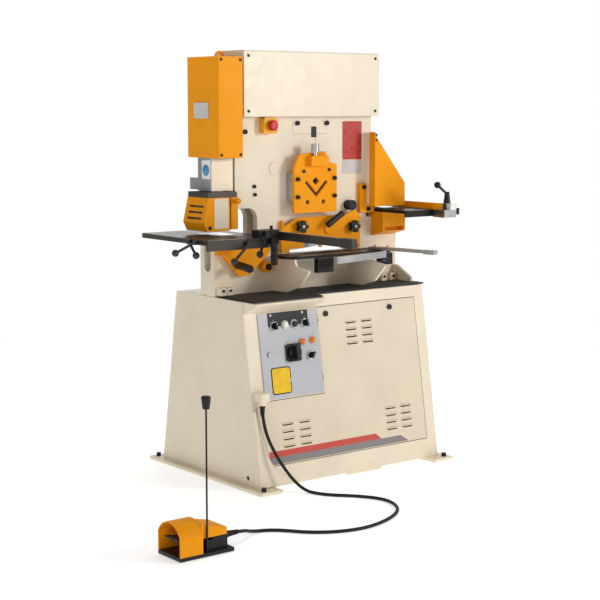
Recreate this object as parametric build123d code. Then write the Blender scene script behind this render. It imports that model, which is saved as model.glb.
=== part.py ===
from build123d import *
import math
import os

# Lengths are millimetres and angles are degrees.
# The origin lies on the floor at the centre of the four anchor holes.
# +X is the operator's right, -Y faces the operator and +Z is up.

# Cabinet
CABINET_HALF_WIDTH = 442
CABINET_DEPTH = 644
CABINET_BASE_Z = 12
CABINET_TOP_Z = 688
FACE_SETBACK = 107
SIDE_SHEET = 4
FACE_SHEET = 6
TOP_SHEET = 8
DOOR_SHEET = 3
DOOR_GAP = 2.5
DOOR_LANDING = 10
DOOR_RIGHT = CABINET_HALF_WIDTH - 50
DOOR_LEFT = 18 - CABINET_HALF_WIDTH
DOOR_STEP_X = -101
DOOR_OUTLINE = [
    (DOOR_STEP_X, 638), (DOOR_RIGHT, 638), (DOOR_RIGHT, 76), (DOOR_LEFT + 43, 76),
    (DOOR_LEFT, 293), (DOOR_LEFT + 45, 312), (DOOR_STEP_X, 312),
]
LOUVRE_PITCH = 27
LOUVRE_WIDTH = 54
LOUVRE_HEIGHT = 9
LOUVRE_DEPTH = 5
LOUVRE_SHEET = 1.5
LOUVRE_COLUMN_PITCH = 79
LOUVRE_GROUPS = [(58, 487), (-287, 139), (217, 136)]
LOUVRE_ROWS = 4
LOUVRE_COLUMNS = 2
WEB_PROUD = 8
WEB_CURVE = [(inset - CABINET_HALF_WIDTH, rise) for inset, rise in ((8, 283), (18, 120), (70, 36), (171, 4))]
CANOPY_X = (2 - CABINET_HALF_WIDTH, -119)
CANOPY_REACH_Y = 21 - CABINET_DEPTH / 2
CANOPY_LIP = 6
CANOPY_ROOT_Z = 643
REAR_OPENING = (112 - CABINET_HALF_WIDTH, CABINET_HALF_WIDTH - 112, 120, 560)
HOSE_HOLE_R = 24
HOSE_HOLE = (-250, 0)
SIDE_HOLE_R = 9
SIDE_HOLE = (-248, 40)

# Feet and floor anchors
FOOT_WIDTH = 98
FOOT_LENGTH = 750
FOOT_CENTRE_X = CABINET_HALF_WIDTH - 18
FOOT_THICKNESS = 12
ANCHOR_SPACING_X = 2 * (CABINET_HALF_WIDTH - 44)
ANCHOR_SPACING_Y = 704
ANCHOR_HOLE_R = 9
LEVELLING_X = CABINET_HALF_WIDTH + 4
LEVELLING_Y = 352
LEVELLING_HOLE_R = 6.2

# Rubber mat on the cabinet top
MAT_THICKNESS = 6
MAT_BACK_Y = -46
MAT_OUTLINE_FRONT = [(467, -199), (-95, -199), (-112, -276), (-431, -276)]

# Control panel on the sloping front, given along the face
PANEL_X = (60 - CABINET_HALF_WIDTH, -105)
PANEL_S = (319, 635)
PANEL_SHEET = 3
PANEL_LIFT = 2
PANEL_RIM = 2
PANEL_RIM_CLEARANCE = 0.6
HINGE_X = -103
HINGE_LIFT = 5
HINGE_R = 4
HINGE_STATIONS = (376, 591)
KNUCKLE_LENGTH = 14
KNUCKLE_GAP = 0.4
CONTROL_LANDING = 10
CONTROL_OPENING = (
    PANEL_X[0] + CONTROL_LANDING, PANEL_X[1] - CONTROL_LANDING,
    PANEL_S[0] + CONTROL_LANDING, PANEL_S[1] - CONTROL_LANDING,
)
CONTROL_DEPTH = 120
CONTROL_WALL = 2
PILOT_R = 11
PILOT_BEZEL_R = 15
PILOT_BEZEL_LIFT = 4
PILOT_ROW_S = 586
SELECTOR_X = (-314, -169)
WHITE_BUTTON_X = -263
DARK_BUTTON_X = -219
LAMP_CENTRES = [(-189, 517), (-141, 519)]
LAMP_BASE_R = 12
LAMP_BASE_HEIGHT = 8
LAMP_DOME_R = 9.5
MAIN_SWITCH_CENTRE = (-237, 481)
MAIN_SWITCH_BASE = 66
MAIN_SWITCH_KNOB = 54
SMALL_SELECTOR_CENTRE = (-155, 463)
PANEL_LOCK_CENTRE = (-345, 482)
SHAFT_R = 5
SHAFT_CLEARANCE = 0.4

# Door locks
LOCK_CENTRES = [(-62, 611), (259, 610)]
LOCK_R = 10.5
LOCK_STEM_R = 6
LOCK_SEAT_CLEARANCE = 0.4
LOCK_CAM_REACH = 26

# Twin frame plates standing on the cabinet
PLATE_THICKNESS = 26
PLATE_FRONT_Y = -40
PLATE_GAP = 40
PLATE_TOP_Z = 1570
FRAME_X = (-440, 457)
PLATE_OUTLINE = [
    (FRAME_X[0], CABINET_TOP_Z), (FRAME_X[0], 880), (-243, 880), (-243, 1014), (-345, 1014),
    (-345, PLATE_TOP_Z), (322, PLATE_TOP_Z), (322, 1125), (296, 1095), (296, 955),
    (FRAME_X[1], 955), (FRAME_X[1], CABINET_TOP_Z),
]
THROAT_CORNERS = [(-243, 880), (-243, 1014)]
THROAT_ROUND = 42
NOTCH_CORNERS = [(296, 955), (296, 1095)]
NOTCH_ROUND = 14
FLAT_WINDOW = (-105, 240, 800, 872)
FLAT_WINDOW_REAR = (-115, 250, 792, 884)
ANGLE_WINDOW = (-74, 74, 1012, 1138)
ANGLE_WINDOW_REAR = (-88, 88, 998, 1152)
FILLER_TOP_Z = 780
TIE_R = 15
TIE_CENTRES = [(-300, 1500), (280, 1500), (-52, 1330), (92, 1330), (-300, 1300), (262, 1375)]
FRAME_FOOT_BOLTS = [(-418, 712), (-386, 712), (376, 712), (424, 712)]
TAB_DEPTH = 26

# Covers
COVER_SHEET = 3
COVER_X = (-329, 328)
COVER_REACH = 39
COVER_Z = (1356, 1600)
CYLINDER_COVER_X = (-451, -341)
CYLINDER_COVER_Y = (-89, 115)
CYLINDER_COVER_Z = (1205, 1575)
COVER_CLEARANCE = 1
COVER_SCREW_INSET = 20
CYLINDER_SCREW_INSET = 12
EYE_MAJOR_R = 16
EYE_MINOR_R = 5
EYE_CENTRE = (-384, 0, 1577)

# Rocking beam between the plates
BEAM_CLEARANCE = 2
PIVOT_X = -162
PIVOT_Z = 1159
PIVOT_R = 30
PIVOT_CLEARANCE = 0.08
PUNCH_X = -400
NOTCH_X = 352
NOTCH_Z = 1080
PUNCH_PAD_R = 28
NOTCH_PAD_R = 26
PAD_CLEARANCE = 0.6
BEAM_LEFT = [(-400, 1139), (-300, 1139), (-255, 1105), (-190, 1040), (-130, 965), (-112, 890)]
BEAM_RIGHT = [(250, 890), (262, 950), (290, 1030), (316, 1060), (352, 1060), (352, 1100), (312, 1100)]
BEAM_TOP = [(286, 1140), (240, 1205), (150, 1240), (-162, 1262), (-260, 1215), (-300, 1179), (-400, 1179)]
BEAM_WINDOW = (-68, 68, 1018, 1132)
BLADE_PROUD = 1.7
FLAT_BLADE_EDGE_LEFT = (-105, 836.5)
FLAT_BLADE_EDGE_RIGHT = (245, 866)
FLAT_BLADE_TOP = 905
FLAT_BLADE_THICKNESS = 14

# Punching head
HEAD_X = (-452, -350)
HEAD_Y = (-38, 50)
HEAD_Z = (1083, 1205)
HEAD_SLOT_Z = 1104
BARREL_R = 46
BARREL_TOP = 1545
RAM_R = 30
RAM_TOP = 1320
RAM_BOTTOM = 1000
RAM_CLEARANCE = 0.08
NUT_R = 26
NUT_BOTTOM = 981
PUNCH_R = 9
PUNCH_BOTTOM = 940
NOSE_Y = (50, 118)
STRIPPER = (-480, -350, -60, 72, 1060, 1080)
STRIPPER_HOLE_R = 33
STRIPPER_FOOT_Z = (946, 956)
STRIPPER_FOOT_HOLE_R = 14

# Punch table, die and hood
TABLE_TOP = 920
TABLE_THICKNESS = 18
TABLE_X = (-594, -290)
TABLE_Y = (-224, 216)
TABLE_RAIL_HEIGHT = 38
TABLE_RAIL_THICKNESS = 12
TABLE_OPENING = 116
DIE_SIZE = 110
DIE_HOLE_R = 9.6
DIE_SLUG_R = 16
HOOD_OUTLINE = [(-480, 1060), (-502, 968), (-486, 936), (-384, 936), (-384, 1060)]
HOOD_Y = (-62, 74)
HOOD_SHEET = 3
HOOD_SLOT_LEVELS = (984, 1006, 1028)
HOOD_SLOT_HEIGHT = 8
HOOD_SLOT_MARGIN = 22
POST = (-377, -346, -60, -26, 940, 1060)
LEVER_R = 5
BALL_R = 13
TABLE_LEVERS = [
    ((-600, -150, 911), (-684, -150, 877)),
    ((-600, -110, 911), (-596, -150, 863)),
    ((-424, -236, 902), (-496, -246, 842)),
]

# Gauge carried on the front rail of the punch table
GAUGE_BLOCK = (-395, -306, -262, -214, 921, 950)
GAUGE_BLOCK_DROP = (-340, -306, -262, -239, 896, 921)
GAUGE_BAR_X = (-305, -285)
GAUGE_BAR_Y = (-673, -236)
GAUGE_BAR_Z = (911, 941)
GAUGE_SLEEVE_LENGTH = 66
GAUGE_SLEEVE_SKIN = 1.5
GAUGE_GRIP = (-322, -252, 820, 896)
GAUGE_GRIP_R = 13
GAUGE_LEVER_PIVOT = (-372, -272, 938)
GAUGE_LEVER_END = (-416, -292, 868)

# Guard under the punching throat
LOWER_GUARD_OUTLINE = [(-430, 878), (-430, 866), (-347, 763), (-300, 763), (-205, 842), (-190, 878)]
LOWER_GUARD_Y = (-66, -54)
BRACKET_Y = (-205, -50)
BRACKET_X = (-475, -415)
BRACKET_Z = (880, 902)
BRACKET_LEG = (-440, -415, -62, -40, 846, 880)
GRIP_START = (-353, -70, 806)
GRIP_END = (-376, -176, 802)
GRIP_R = 15
BOSS_CENTRE = (-218, 791)
BOSS_R = 21
BOSS_REACH = 36

# Angle and bar shear on the front plate
SHEAR_PLATE_Y = (-92, -80)
SHEAR_PLATE_OUTLINE = [
    (-105, 989), (-105, 1160), (-78, 1213), (45, 1222), (67, 1181), (103, 1172), (103, 989),
]
SHEAR_BLOCK = (-105, 103, -80, -40, 1036, 1142)
DIAMOND_CENTRE = (0, 1110)
DIAMOND_SIZE = 24
VEE_TIP = (2, 1048)
VEE_REACH = 56
VEE_WIDTH = 13
ROUND_HOLES = [(-40, 1030), (38, 1030)]
ROUND_HOLE_R = 9
SHEAR_BOLTS = [(-90, 1119), (-90, 1051), (90, 1119), (90, 1051)]
CLAMP_BLOCK = (-40, 44, -116, -92, 1168, 1206)
HOLD_SCREW_X = -14
HOLD_SCREW_Y = -104
HOLD_SCREW_R = 8
HOLD_SCREW_Z = (1190, 1236)
HOLD_HEAD_R = 15
HOLD_HEAD_Z = (1222, 1252)

# Flat bar shear guard
FLAT_GUARD_Y = (-66, -60)
FLAT_GUARD_OUTLINE = [
    (-146, 838), (-146, 930), (-126, 941), (-72, 970), (236, 973), (245, 960), (245, 838), (236, 838),
    (236, 851), (-108, 851), (-108, 838),
]
FLAT_GUARD_WINDOWS = [(-38, 38), (52, 112)]
FLAT_GUARD_WINDOW_TOP = 878
STAR_CENTRES = [(-62, 936), (199, 925)]
STAR_R = 24
STAR_LOBES = 5
STAR_Y = (-96, -76)
STAR_STUD_R = 5
ARM_START = (82, 921)
ARM_END = (207, 967)
ARM_WIDTH = 40
ARM_Y = (-74, -66)
ROD_START = (52, -100, 938)
ROD_END = (126, -100, 981)
ROD_R = 12
NOTCH_GUSSET = [(252, 1090), (281, 1090), (281, 1000), (325, 1000), (325, 975), (252, 975)]
ROUND_KNOB = (201, 1008)
ROUND_KNOB_R = 20

# Shear table with its cream supports
SHEAR_TABLE_TOP = 835
SHEAR_TABLE_THICKNESS = 12
SHEAR_TABLE_X = (-190, 330)
SHEAR_TABLE_Y = (-182, -66)
SHEAR_TABLE_CHAMFER = 30
SHEAR_BLOCK_LOW = (-67, 9, -190, -166, 767, 823)
SHEAR_CLAMP = (247, 311, -188, -166, 777, 823)
SUPPORT_THICKNESS = 10
SUPPORT_LEFT_X = -170
SUPPORT_RIGHT_X = 205
SUPPORT_LOW_X = 448
SUPPORT_PROFILE = [
    (-40, 823), (-40, 694), (-133, 696), (-208, 720),
    (-268, 781), (-262, 788), (-192, 798), (-182, 823),
]
SUPPORT_LOW_PROFILE = [(-40, 755), (-64, 755), (-149, 710), (-149, 694), (-40, 694)]

# Swivelling mitre gauge
MITRE_PIVOT = (254, -200)
MITRE_PIVOT_R = 8
MITRE_ANGLE = 13
MITRE_BAR_LENGTH = 306
MITRE_BAR_WIDTH = 14
MITRE_BAR_Z = (807, 833)
MITRE_ARM_LENGTH = 196
MITRE_ARM_BACK = 62
MITRE_ARM_WIDTH = 40
MITRE_ARM_Z = (837, 847)
MITRE_TIP_LENGTH = 46
MITRE_SCREW_R = 6
MITRE_SCREW_Y = [40, -20]

# Notching station
NOTCH_GUARD_OUTLINE = [(282, 1294), (296, 1267), (440, 1091), (441, 1001), (282, 1001)]
NOTCH_GUARD_Y = (-112, -78)
NOTCH_GUARD_SHEET = 3
HOUSING_OUTLINE = [(283, 1290), (294, 1265), (437, 1089), (437, 1006), (283, 1006)]
HOUSING_WALL = 38
HOUSING_WEB_X = (396, 408)
SLIDE_X = (331, 394)
SLIDE_Z = (1045, 1125)
SLIDE_CLEARANCE = 2
SLIDE_SLOT_RIGHT = 384
NOTCH_BLADE_X = (338, 386)
NOTCH_BLADE_Y = (-30, 42)
NOTCH_BLADE_BOTTOM = 1025
NOTCH_DIE_X = (312, 455)
NOTCH_DIE_Y = (-40, 52)
NOTCH_TABLE_TOP = 989
NOTCH_TABLE_THICKNESS = 12
NOTCH_TABLE_X = (325, 612)
NOTCH_TABLE_Y = (-250, 190)
NOTCH_DIE_CLEARANCE = 1.5
FENCE_BAR = (472, 492, -300, 2, 990, 1014)
FENCE_END = (494, 526, -322, -262, 990, 1014)
FENCE_FOOT = (462, 526, -322, -256, 960, 974)
FENCE_SPINE = (462, 526, -322, -256, 974, 990)
NOTCH_KNOB = (505, -290)
NOTCH_KNOB_R = 11
NOTCH_KNOB_Z = (1014.4, 1060)
NOTCH_LEVER_END = (452, -290, 1088)
NOTCH_BRACKET_OUTLINE = [(-112, 900), (-112, 977), (-40, 977), (-40, 880)]
NOTCH_BRACKET_X = (326, 444)
NOTCH_BRACKET_SLOT = (334, 436, 902, 918)
NOTCH_BRACKET_WALL = 8

# Emergency stop
ESTOP_CENTRE = (-201, 1323)
ESTOP_BASE = 62
ESTOP_BASE_DEPTH = 34
ESTOP_R = 20
ESTOP_STEM_R = 9
ESTOP_TRAVEL = 6

# Oil tank and motor in the cabinet
TANK_SKID_HEIGHT = 4
TANK = (-120, 330, -150, 170, CABINET_BASE_Z + SIDE_SHEET + TANK_SKID_HEIGHT, 330)
TANK_WALL = 4
MOTOR_R = 80
MOTOR_CENTRE_X = 120
MOTOR_Z = (334, 560)
MOTOR_FINS = 24
PUMP_R = 45
PUMP_Z = (120, 326)
GEAR_RAIL = (-350, -140)
GEAR_RAIL_LEVELS = (400, 540)

# Gland on the left stile and the foot-switch cord
GLAND_AXIS = (30 - CABINET_HALF_WIDTH, 24 - CABINET_DEPTH / 2)
GLAND_NUT_R = 12
GLAND_NUT_Z = (316, 330)
GLAND_BODY = (
    GLAND_AXIS[0] - 18, GLAND_AXIS[0] + 18, GLAND_AXIS[1] - 20, GLAND_AXIS[1] + 36,
    GLAND_NUT_Z[1], GLAND_NUT_Z[1] + 32,
)
CORD_R = 6
CORD_REST_Z = 6.4
CORD_POINTS = [
    (*GLAND_AXIS, GLAND_NUT_Z[0]), (*GLAND_AXIS, 244), (-390, -352, 130), (-312, -396, CORD_REST_Z),
    (-290, -502, CORD_REST_Z), (-204, -586, CORD_REST_Z), (-148, -690, CORD_REST_Z),
    (-195, -810, CORD_REST_Z), (-318, -890, CORD_REST_Z), (-470, -920, CORD_REST_Z),
    (-610, -862, CORD_REST_Z), (-694, -744, CORD_REST_Z), (-768, -716, CORD_REST_Z),
    (-838, -770, 36), (-899, -770, 36),
]
CORD_FILL = 0.45

# Foot switch
SWITCH_BASE = (-1131, -928, -844, -717, 3, 15)
SWITCH_PAD_HEIGHT = 3
SWITCH_BODY = (-1000, -943, -828, -733, 15, 58)
SWITCH_GLAND_X = (-943, -899)
SWITCH_GLAND_Y = -770
SWITCH_GLAND_Z = 36
SWITCH_GLAND_R = 11
PEDAL_PIVOT = (-1014, 40)
PEDAL_PIN_R = 4
PEDAL_X = (-1118, -1010)
PEDAL_Y = (-824, -737)
HOOD_ARCH_X = (-1131, -1046)
HOOD_ARCH_Y = (-844, -717)
HOOD_ARCH_SIDE_Z = 78
HOOD_ARCH_TOP_Z = 118
HOOD_ARCH_SHEET = 4
HOOD_REAR_X = (-1046, -948)
HOOD_REAR_LOW = 59
HOOD_REAR_TOP = (104, 82)
CARRY_X = -1026
CARRY_Y = -836
CARRY_R = 3
CARRY_TOP = 470
CARRY_GRIP_TOP = 511
CARRY_GRIP_R = (11, 16.5)
CARRY_GRIP_ROUND = 7

# Screw heads
SOCKET_R = 9
SOCKET_HEIGHT = 10
SMALL_SOCKET_R = 5
SMALL_SOCKET_HEIGHT = 4
HEX_KEY_SHARE = 0.5

# The sloping front face: local x runs to the right, local y up the slope and local z outward
FACE_RISE = CABINET_TOP_Z - CABINET_BASE_Z
FACE_ANGLE = math.atan2(FACE_SETBACK, FACE_RISE)
FACE_LENGTH = math.hypot(FACE_SETBACK, FACE_RISE)
FACE = Plane(
    origin=(0, -CABINET_DEPTH / 2, CABINET_BASE_Z),
    x_dir=(1, 0, 0),
    z_dir=(0, -math.cos(FACE_ANGLE), math.sin(FACE_ANGLE)),
)

PLATE_FRONT_BACK_Y = PLATE_FRONT_Y + PLATE_THICKNESS
PLATE_REAR_Y = PLATE_FRONT_BACK_Y + PLATE_GAP
PLATE_REAR_BACK_Y = PLATE_REAR_Y + PLATE_THICKNESS
MID_Y = PLATE_FRONT_BACK_Y + PLATE_GAP / 2
BEAM_FRONT_Y = PLATE_FRONT_BACK_Y + BEAM_CLEARANCE
BEAM_BACK_Y = PLATE_REAR_Y - BEAM_CLEARANCE


def block(x0, x1, y0, y1, z0, z1):
    return Pos((x0 + x1) / 2, (y0 + y1) / 2, (z0 + z1) / 2) * Box(x1 - x0, y1 - y0, z1 - z0)


def rod(start, end, radius, end_radius=None):
    axis = Vector(*end) - Vector(*start)
    base = Plane(origin=start, z_dir=axis)
    grip = (Align.CENTER, Align.CENTER, Align.MIN)
    if end_radius is None:
        return base * Cylinder(radius, axis.length, align=grip)
    return base * Cone(radius, end_radius, axis.length, align=grip)


def ball(centre, radius):
    return Pos(*centre) * Sphere(radius)


def ball_arm(start, end, radius, ball_radius):
    """A round arm with a ball on its end, the ball's poles on the arm's axis."""
    along = Plane(origin=end, z_dir=Vector(*end) - Vector(*start))
    return rod(start, end, radius) + along * Sphere(ball_radius)


def corners_of(face, corners):
    """The face's vertices that lie at the given corners."""
    wanted = [Vector(*corner) for corner in corners]
    return [v for v in face.vertices() if any((Vector(v.X, v.Y) - place).length < 0.01 for place in wanted)]


def outline_face(points, corners=(), radius=0):
    face = make_face(Polyline(*points, close=True))
    if not corners:
        return face
    picked = corners_of(face, corners)
    return fillet(picked, radius)


def slab_xz(face, y0, y1):
    return Plane.XZ.offset(-y0) * extrude(face, -(y1 - y0))


def slab_yz(face, x0, x1):
    return Plane.YZ.offset(x0) * extrude(face, x1 - x0)


def slab_xy(face, z0, z1):
    return Pos(0, 0, z0) * extrude(face, z1 - z0)


def socket_screw(point, direction, radius=SOCKET_R, height=SOCKET_HEIGHT):
    base = Plane(origin=point, z_dir=direction)
    grip = (Align.CENTER, Align.CENTER, Align.MIN)
    head = Cylinder(radius, height, align=grip)
    head = chamfer(head.edges().sort_by(Axis.Z)[-1], radius * 0.12)
    key = extrude(RegularPolygon(radius * HEX_KEY_SHARE, 6), height * 0.6)
    return base * (head - Pos(0, 0, height * 0.4) * key)


def profile_y(z, inset):
    return -CABINET_DEPTH / 2 + (z - CABINET_BASE_Z) * math.tan(FACE_ANGLE) + inset / math.cos(FACE_ANGLE)


def cabinet_profile(inset_front, inset_rear, z0, z1):
    return [
        (profile_y(z0, inset_front), z0),
        (profile_y(z1, inset_front), z1),
        (-profile_y(z1, inset_rear), z1),
        (-profile_y(z0, inset_rear), z0),
    ]


def louvre_centres():
    for x, s in LOUVRE_GROUPS:
        for column in range(LOUVRE_COLUMNS):
            for row in range(LOUVRE_ROWS):
                yield x + column * LOUVRE_COLUMN_PITCH, s + row * LOUVRE_PITCH


def foot_plate(side):
    x = side * FOOT_CENTRE_X
    plate = Pos(x, 0, FOOT_THICKNESS / 2) * Box(FOOT_WIDTH, FOOT_LENGTH, FOOT_THICKNESS)
    for end in (-1, 1):
        anchor = Pos(side * ANCHOR_SPACING_X / 2, end * ANCHOR_SPACING_Y / 2, FOOT_THICKNESS / 2)
        plate -= anchor * Cylinder(ANCHOR_HOLE_R, FOOT_THICKNESS * 2)
        levelling = Pos(side * LEVELLING_X, end * LEVELLING_Y, FOOT_THICKNESS / 2)
        plate -= levelling * Cylinder(LEVELLING_HOLE_R, FOOT_THICKNESS * 2)
    return plate


def cabinet_shell():
    outer = slab_yz(
        outline_face(cabinet_profile(0, 0, CABINET_BASE_Z, CABINET_TOP_Z)),
        -CABINET_HALF_WIDTH, CABINET_HALF_WIDTH,
    )
    inner_z = (CABINET_BASE_Z + SIDE_SHEET, CABINET_TOP_Z - TOP_SHEET)
    inner_half = CABINET_HALF_WIDTH - SIDE_SHEET
    inner = slab_yz(outline_face(cabinet_profile(FACE_SHEET, SIDE_SHEET, *inner_z)), -inner_half, inner_half)
    shell = outer - inner
    door_face = outline_face(DOOR_OUTLINE)
    rebate = offset(door_face, DOOR_GAP, kind=Kind.INTERSECTION)
    doorway = offset(door_face, -DOOR_LANDING, kind=Kind.INTERSECTION)
    shell -= FACE * Pos(0, 0, -DOOR_SHEET) * extrude(rebate, DOOR_SHEET * 2)
    shell -= FACE * Pos(0, 0, -FACE_SHEET * 2) * extrude(doorway, FACE_SHEET * 3)
    x0, x1, s0, s1 = CONTROL_OPENING
    shell -= FACE * block(x0, x1, s0, s1, -FACE_SHEET * 2, FACE_SHEET)
    rx0, rx1, rz0, rz1 = REAR_OPENING
    shell -= block(rx0, rx1, CABINET_DEPTH / 2 - FACE_SETBACK - SIDE_SHEET * 6, CABINET_DEPTH, rz0, rz1)
    shell -= Pos(HOSE_HOLE[0], HOSE_HOLE[1], CABINET_TOP_Z) * Cylinder(HOSE_HOLE_R, TOP_SHEET * 4)
    hole_y, hole_z = SIDE_HOLE
    shell -= Pos(-CABINET_HALF_WIDTH, hole_y, hole_z) * Rot(0, 90, 0) * Cylinder(SIDE_HOLE_R, SIDE_SHEET * 3)
    curve = Bezier(*WEB_CURVE)
    top, foot = WEB_CURVE[0], WEB_CURVE[-1]
    edge = Polyline(foot, (-CABINET_HALF_WIDTH, foot[1]), (-CABINET_HALF_WIDTH, top[1]), top)
    shell += FACE * extrude(make_face(list(curve.edges()) + list(edge.edges())), WEB_PROUD)
    canopy = [
        (profile_y(CABINET_TOP_Z, 0), CABINET_TOP_Z), (CANOPY_REACH_Y, CABINET_TOP_Z),
        (CANOPY_REACH_Y, CABINET_TOP_Z - CANOPY_LIP), (profile_y(CANOPY_ROOT_Z, 0), CANOPY_ROOT_Z),
    ]
    shell += slab_yz(outline_face(canopy), *CANOPY_X)
    for station in HINGE_STATIONS:
        for side in (-1, 1):
            s = station + side * (KNUCKLE_LENGTH + KNUCKLE_GAP)
            low, high = s - KNUCKLE_LENGTH / 2, s + KNUCKLE_LENGTH / 2
            lug = rod((HINGE_X, low, HINGE_LIFT), (HINGE_X, high, HINGE_LIFT), HINGE_R)
            foot = block(HINGE_X - HINGE_R, HINGE_X - 1, low, high, -1, HINGE_LIFT)
            shell += FACE * (lug + foot)
    for side in (-1, 1):
        shell += foot_plate(side)
    return [shell, rear_panel()]


def rear_panel():
    x0, x1, z0, z1 = REAR_OPENING
    margin = 14
    profile = [
        (-profile_y(z0 - margin, 0), z0 - margin), (-profile_y(z1 + margin, 0), z1 + margin),
        (-profile_y(z1 + margin, -DOOR_SHEET), z1 + margin),
        (-profile_y(z0 - margin, -DOOR_SHEET), z0 - margin),
    ]
    return slab_yz(outline_face(profile), x0 - margin, x1 + margin)


def service_door():
    door = extrude(outline_face(DOOR_OUTLINE), DOOR_SHEET)
    for x, s in louvre_centres():
        left, right = x - LOUVRE_WIDTH, x + LOUVRE_WIDTH
        lip = s + LOUVRE_HEIGHT * 0.1
        opening = Box(LOUVRE_WIDTH * 0.9, LOUVRE_HEIGHT * 0.5, DOOR_SHEET * 2)
        opening = Pos(x, s - LOUVRE_HEIGHT * 0.2, DOOR_SHEET / 2) * opening
        lying = Pos(x, lip, DOOR_SHEET) * Rot(0, 90, 0)
        hood = lying * Cylinder(LOUVRE_DEPTH, LOUVRE_WIDTH)
        hollow = lying * Cylinder(LOUVRE_DEPTH - LOUVRE_SHEET, LOUVRE_WIDTH - 2 * LOUVRE_SHEET)
        mouth = block(left, right, s - LOUVRE_HEIGHT, lip, DOOR_SHEET, DOOR_SHEET * 4)
        below = block(left, right, s - LOUVRE_HEIGHT, s + LOUVRE_HEIGHT, -DOOR_SHEET * 2, 0)
        door = door + (hood - hollow - mouth - below) - opening
    for x, s in LOCK_CENTRES:
        door -= Pos(x, s, DOOR_SHEET / 2) * Cylinder(LOCK_STEM_R + LOCK_SEAT_CLEARANCE, DOOR_SHEET * 3)
    return FACE * Pos(0, 0, -DOOR_SHEET) * door


def door_lock(centre):
    x, s = centre
    head = Pos(x, s, 3.4) * Cylinder(LOCK_R, 6)
    head -= Pos(x, s, 6.4) * Box(LOCK_R * 1.3, 3, 4)
    stem = Pos(x, s, -6) * Cylinder(LOCK_STEM_R, 14)
    cam = block(x - 6, x + 6, s - 6, s + LOCK_CAM_REACH, -13, -10)
    return FACE * (head + stem + cam)


def control_gear():
    x0, x1, s0, s1 = CONTROL_OPENING
    inset = 1
    outer = block(x0 + inset, x1 - inset, s0 + inset, s1 - inset, -CONTROL_DEPTH, -FACE_SHEET - 0.5)
    wall = inset + CONTROL_WALL
    inner = block(x0 + wall, x1 - wall, s0 + wall, s1 - wall, CONTROL_WALL - CONTROL_DEPTH, 0)
    box = outer - inner
    back = CONTROL_WALL - CONTROL_DEPTH
    rail_x0, rail_x1 = GEAR_RAIL
    for level in GEAR_RAIL_LEVELS:
        box += block(rail_x0, rail_x1, level - 17, level + 17, back, back + 8)
        for index in range(4):
            x = rail_x0 + 6 + index * 51
            box += block(x, x + 45, level - 34, level + 34, back + 8, back + 52)
    return FACE * box


def hinge_knuckles(x, lift):
    parts = []
    for station in HINGE_STATIONS:
        low, high = station - KNUCKLE_LENGTH / 2, station + KNUCKLE_LENGTH / 2
        knuckle = rod((x, low, lift), (x, high, lift), HINGE_R)
        leaf = block(x - HINGE_R * 2, x, low, high, PANEL_LIFT, PANEL_LIFT + PANEL_SHEET)
        parts.append(knuckle + leaf)
    return parts


def control_panel():
    x0, x1 = PANEL_X
    s0, s1 = PANEL_S
    top = PANEL_LIFT + PANEL_SHEET
    plate = block(x0, x1, s0, s1, PANEL_LIFT, top)
    rim = block(x0, x1, s0, s1, PANEL_RIM_CLEARANCE, top)
    rim -= block(x0 + PANEL_RIM, x1 - PANEL_RIM, s0 + PANEL_RIM, s1 - PANEL_RIM, 0, top)
    panel = plate + rim
    for station in HINGE_STATIONS:
        reach = KNUCKLE_LENGTH * 1.5 + KNUCKLE_GAP * 3
        panel -= block(HINGE_X - HINGE_R - 1, x1 + 1, station - reach, station + reach, 0, top + 1)
    for part in hinge_knuckles(HINGE_X, HINGE_LIFT):
        panel += part
    pilots = [(x, PILOT_ROW_S) for x in (*SELECTOR_X, WHITE_BUTTON_X, DARK_BUTTON_X)]
    for x, s in pilots + [SMALL_SELECTOR_CENTRE]:
        ring = Pos(x, s, top + PILOT_BEZEL_LIFT / 2 - 0.5) * Cylinder(PILOT_BEZEL_R, PILOT_BEZEL_LIFT + 1)
        panel += ring
        panel -= Pos(x, s, top) * Cylinder(PILOT_R + SHAFT_CLEARANCE, 40)
    x, s = MAIN_SWITCH_CENTRE
    panel += Pos(x, s, top + 4) * Box(MAIN_SWITCH_BASE, MAIN_SWITCH_BASE, 9)
    panel -= Pos(x, s, top) * Cylinder(SHAFT_R + SHAFT_CLEARANCE, 40)
    x, s = PANEL_LOCK_CENTRE
    panel += Pos(x, s, top + 2) * Cylinder(9, 5)
    return FACE * panel


def panel_lamps():
    lamps = []
    for x, s in LAMP_CENTRES:
        top = PANEL_LIFT + PANEL_SHEET
        base = Pos(x, s, top + LAMP_BASE_HEIGHT / 2) * Cylinder(LAMP_BASE_R, LAMP_BASE_HEIGHT)
        lamps.append(base + ball((x, s, top + LAMP_DOME_R + 0.5), LAMP_DOME_R))
    return FACE * Compound(children=lamps)


def push_button(x):
    top = PANEL_LIFT + PANEL_SHEET
    cap = Pos(x, PILOT_ROW_S, top + 6) * Cylinder(PILOT_R, 12)
    stem = Pos(x, PILOT_ROW_S, -5) * Cylinder(SHAFT_R, 28)
    return FACE * (fillet(cap.edges().sort_by(Axis.Z)[-1], 2) + stem)


def selector(centre, tilt):
    x, s = centre
    top = PANEL_LIFT + PANEL_SHEET
    body = Pos(x, s, top + 5) * Cylinder(PILOT_R, 10)
    handle = Pos(x, s, top + 17) * Rot(0, 0, tilt) * Box(7, PILOT_R * 2.4, 16)
    stem = Pos(x, s, -5) * Cylinder(SHAFT_R, 28)
    return FACE * (body + handle + stem)


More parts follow.
